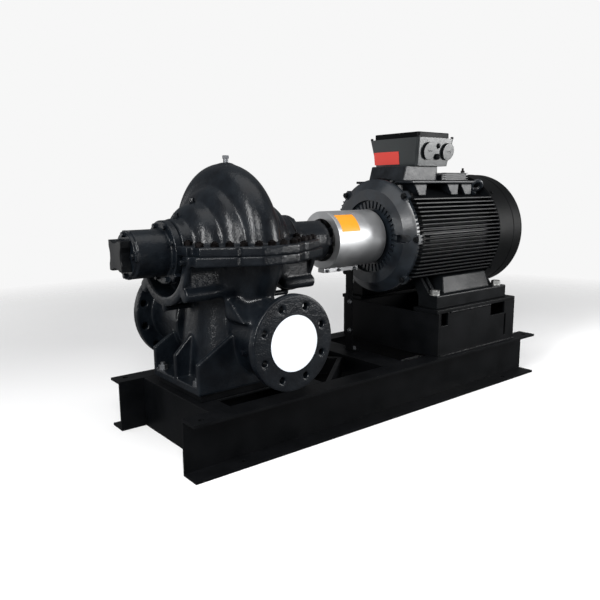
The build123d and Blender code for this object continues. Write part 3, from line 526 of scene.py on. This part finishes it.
def runTree(piece, tree, settings):
    # each input is set by its identifier before the tree first runs
    modifier = piece.modifiers.new("build", "NODES")
    modifier.node_group = tree
    for socket in tree.interface.items_tree:
        if socket.in_out == "INPUT" and socket.name in settings:
            modifier[socket.identifier] = settings[socket.name]
    freeze(piece, builtSharp)


def addFasteners(name, spots, spec):
    # spots are pairs of a place in mm and the way the head faces
    mesh = bpy.data.meshes.new(name)
    mesh.from_pydata([Vector(place) * mm for place, _ in spots], [], [])
    facing = mesh.attributes.new("facing", "FLOAT_VECTOR", "POINT")
    for i, (_, way) in enumerate(spots):
        facing.data[i].vector = Vector(way).normalized()
    piece = newPiece(name, mesh)
    runTree(piece, hexTree, {
        "Head Radius": spec["acrossFlats"] / math.sqrt(3) * mm, "Head Height": spec["head"] * mm,
        "Washer Radius": spec["washer"] / 2 * mm, "Washer Height": spec["washerThick"] * mm,
        "Stud Radius": spec["stud"] / 2 * mm, "Stud Length": spec["studOut"] * mm,
        "Seed": spec["seed"], "Finish": spec.get("finish", finishOf[spec["slot"]])})
    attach(piece, "root")
    return piece


def onSkin(nodeName, start, way):
    # the spot where a line from start, going along way, first meets the dressed node
    piece = bpy.data.objects[camelName(nodeName)]
    hit, place, _, _ = piece.ray_cast(Vector(start) * mm, Vector(way).normalized())
    if not hit:
        raise ValueError(f"nothing of {nodeName} lies ahead of {start}")
    return place / mm


def around(centre, radius, degrees, out=0.0):
    # a spot on a circle about the X axis: 0 is +Y, 90 is +Z
    turn = math.radians(degrees)
    return Vector((centre[0] + out, centre[1] + radius * math.cos(turn), centre[2] + radius * math.sin(turn)))


upperLow, upperHigh = nodeBox("upper_casing")
pump = {"middle": (upperLow[0] + upperHigh[0]) / 2, "shaft": upperLow[2], "splitFlange": 25, "footPlate": 23}
splitTop = pump["shaft"] + pump["splitFlange"]
footTop = nodeBox("pump_packing_plate")[1][2] + pump["footPlate"]
axis = (0, 0, pump["shaft"])
nutRow = {"acrossFlats": 20, "head": 8, "washer": 24, "washerThick": 2, "stud": 12, "studOut": 4,
          "seed": 3, "slot": "bright_steel", "finish": wornFastener,
          "line": ((-193, 168), (-112, 218), (-96, 219), (-54, 251), (0, 256), (54, 251), (96, 219),
                   (112, 218), (193, 168)), "count": 12, "endNuts": (188, 98)}


def alongLine(corners, share):
    # the spot that lies at a share of the length of a broken line
    lengths = [math.dist(a, b) for a, b in zip(corners, corners[1:])]
    rest = share * sum(lengths)
    for (a, b), length in zip(zip(corners, corners[1:]), lengths):
        if rest <= length:
            return [a[i] + (b[i] - a[i]) * rest / length for i in (0, 1)]
        rest -= length
    return list(corners[-1])


splitNuts = []
for side in (-1, 1):
    for i in range(nutRow["count"]):
        x, y = alongLine(nutRow["line"], i / (nutRow["count"] - 1))
        splitNuts.append(((pump["middle"] + x, side * y, splitTop), (0, 0, 1)))
    for end in (-1, 1):
        x, y = nutRow["endNuts"]
        splitNuts.append(((pump["middle"] + end * x, side * y, splitTop), (0, 0, 1)))
addFasteners("splitFlangeNuts", splitNuts, nutRow)
flangeBolts = {"acrossFlats": 13, "head": 6, "washer": 15, "washerThick": 1.2, "stud": 8, "studOut": 0.6,
               "seed": 5, "slot": "casting_paint", "radius": 79, "thickness": 21, "count": 8, "rimRadius": 56,
               "rimCount": 4}
for nodeName, end in (("free_end", -1), ("drive_end", 1)):
    housing = [corner[0] for corner in nodeBox(nodeName + "_bearing_housing")]
    seat, rim = sorted(housing, key=lambda x: abs(x - pump["middle"]))
    step = 360 / flangeBolts["count"]
    rimStep = 360 / flangeBolts["rimCount"]
    spots = [(around(axis, flangeBolts["radius"], step * (i + 0.5), seat + end * flangeBolts["thickness"]),
              (end, 0, 0)) for i in range(flangeBolts["count"])]
    spots += [(around(axis, flangeBolts["rimRadius"], rimStep * i, rim), (end, 0, 0))
              for i in range(flangeBolts["rimCount"])]
    addFasteners(camelName(nodeName) + "BearingBolts", spots, flangeBolts)

footBolts = {"acrossFlats": 24, "head": 11, "washer": 30, "washerThick": 3, "stud": 15, "studOut": 8,
             "seed": 6, "slot": "bright_steel", "finish": agedZinc, "inX": 180, "inY": 108}
addFasteners("pumpFootNuts", [((pump["middle"] + a * footBolts["inX"], b * footBolts["inY"], footTop),
                               (0, 0, 1)) for a in (-1, 1) for b in (-1, 1)], footBolts)

motorBolts = {"acrossFlats": 30, "head": 13, "washer": 37, "washerThick": 3, "stud": 20, "studOut": 1,
              "seed": 7, "slot": "bright_steel", "fromPumpEnd": 18, "fromFanEnd": 30, "fromSide": 26,
              "footBlock": 47}
footLow, footHigh = nodeBox("rear_motor_foot")
footBoltX = (footLow[0] + motorBolts["fromPumpEnd"], footHigh[0] - motorBolts["fromFanEnd"])
footBoltY = footHigh[1] - motorBolts["fromSide"]
footBoltZ = footLow[2] + motorBolts["footBlock"]
addFasteners("motorFootBolts", [((x, side * footBoltY, footBoltZ), (0, 0, 1))
                                for x in footBoltX for side in (-1, 1)], motorBolts)

shieldBolts = {"acrossFlats": 17, "head": 8, "washer": 20, "washerThick": 1.5, "stud": 10, "studOut": 5,
               "seed": 8, "slot": "bright_steel", "finish": wornFastener, "radius": 205,
               "angles": (0, 45, 135, 180, 225, 315), "earStart": 25, "behind": 7}
shieldLow, shieldHigh = nodeBox("drive_end_shield")
nutFace = shieldHigh[0] + shieldBolts["behind"]
headFace = shieldLow[0] + shieldBolts["earStart"]
addFasteners("shieldNuts", [(around(axis, shieldBolts["radius"], angle, nutFace), (1, 0, 0))
                            for angle in shieldBolts["angles"]], shieldBolts)
addFasteners("shieldHeads", [(around(axis, shieldBolts["radius"], angle, headFace), (-1, 0, 0))
                             for angle in shieldBolts["angles"]],
             dict(shieldBolts, slot="motor_paint", finish=motorEnamel, studOut=0.5))

plugs = {"acrossFlats": 13, "head": 9, "washer": 20, "washerThick": 4, "stud": 8, "studOut": 0.5,
         "seed": 9, "slot": "casting_paint", "onTop": (117, 170), "above": 900, "ahead": -900,
         "onFreeEnd": ((-190, 300), (-138, 560), (138, 560))}
plugSpots = []
for offset in plugs["onTop"]:
    for x in (pump["middle"] - offset, pump["middle"] + offset):
        plugSpots.append((onSkin("upper_casing", (x, 0, plugs["above"]), (0, 0, -1)), (0, 0, 1)))
for y, z in plugs["onFreeEnd"]:
    plugSpots.append((onSkin("lower_casing", (plugs["ahead"], y, z), (1, 0, 0)), (-1, 0, 0)))
addFasteners("casingPlugs", plugSpots, plugs)

bracketBolts = {"acrossFlats": 13, "head": 6, "washer": 17, "washerThick": 1.5, "stud": 8, "studOut": 3,
                "seed": 10, "slot": "bright_steel", "finish": agedZinc, "slotY": 21, "slotZ": (343.6, 237.8),
                "onFoot": (45, 14, 166)}
bracketFace = nodeBox("guard_bracket")[0][0]
bracketSpots = [((bracketFace, bracketBolts["slotY"], z), (-1, 0, 0)) for z in bracketBolts["slotZ"]]
addFasteners("guardBracketNuts", bracketSpots + [(bracketBolts["onFoot"], (0, 0, 1))], bracketBolts)
seamBolts = dict(bracketBolts, acrossFlats=10, head=5, washer=13, stud=6, studOut=4, seed=11, z=472,
                 x=(-112, -60, 14))
seamFace = nodeBox("guard_seam")[1][1]
addFasteners("guardSeamBolts", [((x, side * seamFace, seamBolts["z"]), (0, side, 0))
                                for x in seamBolts["x"] for side in (-1, 1)], seamBolts)
ventPlug = {"acrossFlats": 19, "head": 8, "washer": 15, "washerThick": 11, "stud": 9, "studOut": 0.3,
            "seed": 12, "slot": "bright_steel", "finish": agedZinc}
ventLow, ventHigh = nodeBox("vent_plug")
ventSeat = ((ventLow[0] + ventHigh[0]) / 2, (ventLow[1] + ventHigh[1]) / 2, ventLow[2])
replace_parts(addFasteners("ventPlug", [(ventSeat, (0, 0, 1))], ventPlug), "vent_plug")
lidScrews = {"acrossFlats": 9, "head": 5, "washer": 12, "washerThick": 1, "stud": 5, "studOut": 0.5,
             "seed": 13, "slot": "terminal_box_paint", "finish": sheetPowderCoat, "inset": 6}
boxLow, boxHigh = nodeBox("terminal_box")
lidScrewX, lidScrewY = [(boxLow[i] + lidScrews["inset"], boxHigh[i] - lidScrews["inset"]) for i in (0, 1)]
addFasteners("boxCornerScrews", [((x, y, boxHigh[2]), (0, 0, 1)) for x in lidScrewX for y in lidScrewY],
             lidScrews)
shelfBolt = {"acrossFlats": 13, "head": 6, "washer": 14, "washerThick": 1, "stud": 8, "studOut": 9,
             "seed": 14, "slot": "motor_paint", "finish": wornFastener, "fromEnd": 15, "y": -95}
shelfHigh = nodeBox("terminal_box_shelf")[1]
addFasteners("earthBolt", [((shelfHigh[0] - shelfBolt["fromEnd"], shelfBolt["y"], shelfHigh[2]), (0, 0, 1))],
             shelfBolt)
cowlScrews = {"acrossFlats": 10, "head": 4, "washer": 14, "washerThick": 1, "stud": 6, "studOut": 0.5,
              "seed": 15, "slot": "cowl_paint", "fromEdge": 17, "angles": (38, 137, 218, 322)}
cowlLow, cowlHigh = nodeBox("fan_cowl")
cowlSkin = cowlHigh[1] - 0.04  # just inside the radius, so that nothing stands off the sheet
cowlScrewX = cowlLow[0] + cowlScrews["fromEdge"]
addFasteners("cowlScrews", [(around(axis, cowlSkin, angle, cowlScrewX), around((0, 0, 0), 1, angle))
                            for angle in cowlScrews["angles"]], cowlScrews)
print("fasteners on")

# Turned trim: round pieces made from half an outline of radii and heights in mm


trimForm = {"mergeWithin": 0.001, "sharp": 40}


def turnedTrim(name, spots, profile, finish, sides):
    # one outline turned about the way that each spot faces
    shape = bmesh.new()
    for place, way in spots:
        aim = Vector(way).to_track_quat("Z", "Y").to_matrix()
        rings = []
        for radius, height in profile:
            ring = []
            for i in range(sides):
                turn = 2 * math.pi * i / sides
                corner = aim @ Vector((radius * math.cos(turn), radius * math.sin(turn), height))
                ring.append(shape.verts.new((Vector(place) + corner) * mm))
            rings.append(ring)
        for lower, upper in zip(rings, rings[1:]):
            for i in range(sides):
                j = (i + 1) % sides
                shape.faces.new((lower[i], lower[j], upper[j], upper[i]))
        if profile[0] != profile[-1]:
            shape.faces.new(list(reversed(rings[0])))
            shape.faces.new(rings[-1])
    bmesh.ops.remove_doubles(shape, verts=shape.verts, dist=trimForm["mergeWithin"] * mm)
    bmesh.ops.recalc_face_normals(shape, faces=shape.faces)
    mesh = bpy.data.meshes.new(name)
    shape.to_mesh(mesh)
    shape.free()
    mesh.materials.append(finish)
    mesh.shade_smooth()
    mesh.set_sharp_from_angle(angle=math.radians(trimForm["sharp"]))
    piece = newPiece(name, mesh)
    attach(piece, "root")


# small blanking plugs between the two large ones: a thin flange, then a low cone
smallPlug = {"radius": 9, "x": 333, "z": (898, 858), "face": -113, "flange": 2, "flangeThick": 1.5, "root": 8,
             "step": 1, "cone": 2, "coneHigh": 6, "top": 6, "topHigh": 8, "sides": 24}
smallRadius = smallPlug["radius"]
smallOutline = [(smallRadius + smallPlug["flange"], -smallPlug["root"]),
                (smallRadius + smallPlug["flange"], smallPlug["flangeThick"]),
                (smallRadius, smallPlug["flangeThick"] + smallPlug["step"]),
                (smallRadius - smallPlug["cone"], smallPlug["coneHigh"]),
                (smallRadius - smallPlug["top"], smallPlug["topHigh"])]
turnedTrim("smallPlugs", [((smallPlug["x"], smallPlug["face"], z), (0, -1, 0)) for z in smallPlug["z"]],
           smallOutline, motorEnamel, smallPlug["sides"])

# the screwdriver slot in the middle of each large plug, drawn as a raised bar in black enamel: its black is a
# painted shade of the recess
plugSlots = {"places": ((281, 877), (385, 877)), "size": (10, 2.2, 2.4), "turned": 25, "round": 0.5}
plugFace = nodeBox("pump_side_cable_plug")[0][1]
slotShape = bmesh.new()
for x, z in plugSlots["places"]:
    lie = Matrix.Translation(Vector((x, plugFace, z)) * mm)
    lie = lie @ Matrix.Rotation(math.radians(plugSlots["turned"]), 4, "Y")
    bmesh.ops.create_cube(slotShape, size=mm, matrix=lie @ Matrix.Diagonal((*plugSlots["size"], 1)))
bmesh.ops.bevel(slotShape, geom=slotShape.edges[:], offset=plugSlots["round"] * mm, segments=2,
                affect="EDGES")
slotMesh = bpy.data.meshes.new("plugSlots")
slotShape.to_mesh(slotMesh)
slotShape.free()
slotMesh.materials.append(motorEnamel)
slotMarks = newPiece("plugSlots", slotMesh)
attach(slotMarks, "root")

# the bead rolled into the cowl's sheet
cowlBead = {"fromEnd": 72, "width": 4, "root": 1, "shoulder": 0.6, "rise": 1.4, "sides": 120}
beadHalf = cowlBead["width"] / 2
beadRoot = cowlSkin - cowlBead["root"]
beadShoulder = cowlSkin + cowlBead["shoulder"]
beadOutline = [(beadRoot, -beadHalf), (beadShoulder, -beadHalf), (cowlSkin + cowlBead["rise"], 0),
               (beadShoulder, beadHalf), (beadRoot, beadHalf), (beadRoot, -beadHalf)]
beadX = cowlHigh[0] - cowlBead["fromEnd"]
turnedTrim("cowlBead", [((beadX, 0, pump["shaft"]), (1, 0, 0))], beadOutline, sheetPowderCoat,
           cowlBead["sides"])


def liftingEye(spec):
    # a forged ring on a collar, screwed into the frame
    turn = math.radians(spec["angle"])
    out = Vector((0, math.cos(turn), math.sin(turn)))
    seat = Vector((spec["x"], 0, pump["shaft"])) + out * spec["seat"]
    neckFoot = spec["collarThick"] + spec["neckStep"]
    shank = [(spec["collar"], 0), (spec["collar"], spec["collarThick"]), (spec["neck"], neckFoot),
             (spec["neckTop"], spec["neckHigh"])]
    # collar and ring take the shield's enamel, whose lighter base is a painted sheen
    turnedTrim("liftingEyeCollar", [(seat, out)], shank, shieldEnamel, spec["collarSides"])
    middle = seat + out * spec["ringHigh"]
    section = []
    for i in range(spec["barSides"]):
        bend = 2 * math.pi * i / spec["barSides"]
        section.append((spec["ring"] + spec["bar"] * math.cos(bend), spec["bar"] * math.sin(bend)))
    section.append(section[0])
    across = Matrix.Rotation(math.radians(spec["turned"]), 3, out) @ Vector((1, 0, 0)).cross(out)
    turnedTrim("liftingEyeRing", [(middle, across)], section, shieldEnamel, spec["ringSides"])


liftingEye({"x": 540, "angle": 127, "seat": 190, "collar": 15, "collarThick": 9, "collarSides": 28,
            "neck": 9, "neckStep": 2, "neckTop": 7.2, "neckHigh": 21, "ring": 20, "bar": 7.5,
            "barSides": 16, "ringHigh": 33.5, "ringSides": 36, "turned": -22})

# Cooling ribs on both sides of the raised block beside the box neck


def ribTree():
    tree = bpy.data.node_groups.new("ribStack", "GeometryNodeTree")
    for name in ("Size", "First", "Pitch"):
        tree.interface.new_socket(name, in_out="INPUT", socket_type="NodeSocketVector")
    tree.interface.new_socket("Count", in_out="INPUT", socket_type="NodeSocketInt")
    tree.interface.new_socket("Finish", in_out="INPUT", socket_type="NodeSocketMaterial")
    tree.interface.new_socket("Ribs", in_out="OUTPUT", socket_type="NodeSocketGeometry")
    given = addNode(tree, "NodeGroupInput").outputs
    rib = addNode(tree, "GeometryNodeMeshCube", links={"Size": given["Size"]})
    row = addNode(tree, "GeometryNodeMeshLine", {"mode": "OFFSET"},
                  links={"Count": given["Count"], "Start Location": given["First"],
                         "Offset": given["Pitch"]})
    placed = addNode(tree, "GeometryNodeInstanceOnPoints",
                     links={"Points": row.outputs["Mesh"], "Instance": rib.outputs["Mesh"]})
    real = addNode(tree, "GeometryNodeRealizeInstances", links={"Geometry": placed.outputs["Instances"]})
    painted = addNode(tree, "GeometryNodeSetMaterial",
                      links={"Geometry": real.outputs["Geometry"], "Material": given["Finish"]})
    addNode(tree, "NodeGroupOutput", links={"Ribs": painted.outputs["Geometry"]})
    return tree


stackTree = ribTree()
blockRibs = {"x": (385, 519), "face": 100, "sunk": 1, "depth": 11, "thick": 2.4, "low": 777, "pitch": 8.2,
             "count": 4}
for side, name in ((-1, "frontBlockRibs"), (1, "rearBlockRibs")):
    piece = newPiece(name, bpy.data.meshes.new(name))
    start, end = blockRibs["x"]
    ribY = blockRibs["face"] - blockRibs["sunk"] + blockRibs["depth"] / 2
    runTree(piece, stackTree, {
        "Size": [(end - start) * mm, blockRibs["depth"] * mm, blockRibs["thick"] * mm],
        "First": [(start + end) / 2 * mm, side * ribY * mm, blockRibs["low"] * mm],
        "Pitch": [0.0, 0.0, blockRibs["pitch"] * mm], "Count": blockRibs["count"], "Finish": shelfEnamel})
    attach(piece, "root")

# Weld beads: a rippled fillet along the joints of plates and channels


beadForm = {"lumpsPerMetre": 240.0, "roughPerMetre": 420.0, "thin": 0.75, "thick": 1.3, "sides": 8}


def weldTree():
    form = beadForm
    tree = bpy.data.node_groups.new("weldBead", "GeometryNodeTree")
    tree.interface.new_socket("Edges", in_out="INPUT", socket_type="NodeSocketGeometry")
    for name in ("Leg", "Ripple", "Step"):
        tree.interface.new_socket(name, in_out="INPUT", socket_type="NodeSocketFloat")
    tree.interface.new_socket("Seed", in_out="INPUT", socket_type="NodeSocketFloat")
    tree.interface.new_socket("Finish", in_out="INPUT", socket_type="NodeSocketMaterial")
    tree.interface.new_socket("Bead", in_out="OUTPUT", socket_type="NodeSocketGeometry")
    given = addNode(tree, "NodeGroupInput").outputs
    run = addNode(tree, "GeometryNodeMeshToCurve", links={"Mesh": given["Edges"]})
    even = addNode(tree, "GeometryNodeResampleCurve", {"mode": "LENGTH"},
                   links={"Curve": run.outputs["Curve"], "Length": given["Step"]})
    lumps = addNode(tree, "ShaderNodeTexNoise", {"noise_dimensions": "4D"},
                    values={"Scale": form["lumpsPerMetre"], "Detail": 1.0}, links={"W": given["Seed"]})
    swing = spreadTo(tree, lumps.outputs["Fac"], form["thin"], form["thick"])
    size = addNode(tree, "ShaderNodeMath", {"operation": "MULTIPLY"}, links={0: given["Leg"], 1: swing})
    ring = addNode(tree, "GeometryNodeCurvePrimitiveCircle",
                   values={"Resolution": form["sides"], "Radius": 1.0})
    bead = addNode(tree, "GeometryNodeCurveToMesh", values={"Fill Caps": True},
                   links={"Curve": even.outputs["Curve"], "Profile Curve": ring.outputs["Curve"],
                          "Scale": size.outputs[0]})
    rough = addNode(tree, "ShaderNodeTexNoise", values={"Scale": form["roughPerMetre"], "Detail": 2.0})
    centred = addNode(tree, "ShaderNodeVectorMath", {"operation": "SUBTRACT"},
                      links={0: rough.outputs["Color"]})
    centred.inputs[1].default_value = (0.5, 0.5, 0.5)
    shove = addNode(tree, "ShaderNodeVectorMath", {"operation": "SCALE"},
                    links={0: centred.outputs[0], "Scale": given["Ripple"]})
    moved = addNode(tree, "GeometryNodeSetPosition",
                    links={"Geometry": bead.outputs["Mesh"], "Offset": shove.outputs[0]})
    real = addNode(tree, "GeometryNodeRealizeInstances", links={"Geometry": moved.outputs["Geometry"]})
    painted = addNode(tree, "GeometryNodeSetMaterial",
                      links={"Geometry": real.outputs["Geometry"], "Material": given["Finish"]})
    addNode(tree, "NodeGroupOutput", links={"Bead": painted.outputs["Geometry"]})
    return tree


beadTree = weldTree()


def addWelds(name, runs, spec):
    # runs are pairs of end points in mm
    mesh = bpy.data.meshes.new(name)
    ends = [Vector(end) * mm for run in runs for end in run]
    mesh.from_pydata(ends, [(2 * i, 2 * i + 1) for i in range(len(runs))], [])
    piece = newPiece(name, mesh)
    runTree(piece, beadTree, {"Leg": spec["leg"] * mm, "Ripple": spec["ripple"] * mm,
                              "Step": spec["step"] * mm, "Seed": spec["seed"], "Finish": rolledSteelEnamel})
    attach(piece, "root")


weld = {"leg": 3.6, "ripple": 2.2, "step": 2.5, "seed": 1.5, "shortOfEnds": 4, "topStart": 55, "topEnd": 161,
        "endHalfWidth": 220}
(plateStart, _, plateLow), (plateEnd, plateFace, plateTop) = nodeBox("rear_pedestal_plate")
lowStart, lowEnd = plateStart + weld["shortOfEnds"], plateEnd - weld["shortOfEnds"]
topStart, topEnd = plateStart + weld["topStart"], plateEnd - weld["topEnd"]
endHalf = weld["endHalfWidth"]
pedestalRuns = []
for y in (-plateFace, plateFace):
    pedestalRuns.append(((lowStart, y, plateLow), (lowEnd, y, plateLow)))
    pedestalRuns.append(((topStart, y, plateTop), (topEnd, y, plateTop)))
pedestalRuns.append(((plateEnd, -endHalf, plateLow), (plateEnd, endHalf, plateLow)))
addWelds("pedestalWelds", pedestalRuns, weld)
print("details added")

# Studio


softboxes = {  # where each stands, what it looks at, its width and height in metres and its power in watts
    "ceilingSoftbox": {"place": (-0.2, -0.4, 3.4), "target": (0, 0, 0.4), "size": (3.4, 2.2), "power": 44},
    "rightStrip": {"place": (2.12, -1.76, 1.1), "target": (0.1, 0, 1.1), "size": (0.7, 1.2), "power": 65},
    "lowStrip": {"place": (1.08, -2.4, 0.36), "target": (-0.5, -0.25, 0.59), "size": (0.7, 0.35), "power": 9},
    "leftStrip": {"place": (-2.75, -1.0, 1.75), "target": (-0.5, -0.1, 0.7), "size": (0.4, 2.0), "power": 97},
    "frontSoftbox": {"place": (-1.69, -1.9, 1.75), "target": (0.1, -0.1, 0.6), "size": (0.5, 0.9),
                     "power": 30},
    "backSoftbox": {"place": (-1.6, 2.5, 0.5), "target": (-0.2, 0, 0.45), "size": (1.6, 0.9), "power": 5}}
for name, box in softboxes.items():
    data = bpy.data.lights.new(name, "AREA")
    data.shape = "RECTANGLE"
    data.size, data.size_y = box["size"]
    data.energy = box["power"]
    lamp = bpy.data.objects.new(name, data)
    lamp.location = box["place"]
    aim = Vector(box["target"]) - Vector(box["place"])
    lamp.rotation_euler = aim.to_track_quat("-Z", "Y").to_euler()
    lamp.visible_camera = False
    scene.collection.objects.link(lamp)

studio = {"floorColour": "#f2f2f2", "floorRoughness": 0.9, "floorReach": 3.6, "floorFade": 1.5,
          "floorBelow": 0.0005, "airColour": "#fbfcff", "airStrength": 0.2, "backdropColour": "#ffffff",
          "backdropStrength": 0.93}
scene.view_settings.view_transform = "Standard"
world = bpy.data.worlds.new("studioAir")
world.use_nodes = True
worldTree = world.node_tree
worldTree.nodes.clear()
air = addNode(worldTree, "ShaderNodeBackground", values={"Color": toLinear(studio["airColour"]),
                                                         "Strength": studio["airStrength"]})
backdrop = addNode(worldTree, "ShaderNodeBackground", values={"Color": toLinear(studio["backdropColour"]),
                                                              "Strength": studio["backdropStrength"]})
seen = addNode(worldTree, "ShaderNodeMixShader",
               links={0: addNode(worldTree, "ShaderNodeLightPath").outputs["Is Camera Ray"],
                      1: air.outputs[0], 2: backdrop.outputs[0]})
addNode(worldTree, "ShaderNodeOutputWorld", links={"Surface": seen.outputs[0]})
scene.world = world

# the floor thins out into the white backdrop, so that no horizon shows
floorMesh = bpy.data.meshes.new("studioFloor")
reach = studio["floorReach"]
floorMesh.from_pydata([(-reach, -reach, 0), (reach, -reach, 0), (reach, reach, 0), (-reach, reach, 0)], [],
                      [(0, 1, 2, 3)])
floorPaint, floorTree, floorShader, floorPlace = newMaterial(
    "palePaper", {"Base Color": toLinear(studio["floorColour"]), "Roughness": studio["floorRoughness"]})
distance = addNode(floorTree, "ShaderNodeVectorMath", {"operation": "LENGTH"}, links={0: floorPlace})
fade = spreadTo(floorTree, distance.outputs["Value"], 1.0, 0.0, studio["floorFade"], studio["floorReach"])
floorTree.links.new(fade, floorShader.inputs["Alpha"])
floorMesh.materials.append(floorPaint)
floor = newPiece("studioFloor", floorMesh)
floor.location.z = cadBox[0][2] - studio["floorBelow"]
floor.visible_glossy = False  # keeps the paper's white out of the paint

# Camera, fitted to the corners of the base frame

viewpoint = {"place": (-1.5041, -1.6172, 0.7561), "yaw": 38.48, "pitch": 10.26, "roll": -0.47,
             "focalPixels": 626.2, "imagePixels": 600, "sensorMm": 36, "nearest": 0.01}
yaw, pitch, roll = (math.radians(viewpoint[key]) for key in ("yaw", "pitch", "roll"))
forward = Vector((math.sin(yaw) * math.cos(pitch), math.cos(yaw) * math.cos(pitch), -math.sin(pitch)))
level = Vector((math.cos(yaw), -math.sin(yaw), 0))
above = level.cross(forward)
right = math.cos(roll) * level + math.sin(roll) * above
up = -math.sin(roll) * level + math.cos(roll) * above
cameraData = bpy.data.cameras.new("photoCamera")
cameraData.sensor_width = viewpoint["sensorMm"]
cameraData.lens = viewpoint["sensorMm"] * viewpoint["focalPixels"] / viewpoint["imagePixels"]
cameraData.clip_start = viewpoint["nearest"]
camera = bpy.data.objects.new("photoCamera", cameraData)
columns = (right, up, -forward, Vector(viewpoint["place"]))
camera.matrix_world = Matrix([[column[i] for column in columns] for i in range(3)] + [[0, 0, 0, 1]])
scene.collection.objects.link(camera)
scene.camera = camera
print("studio and camera placed")
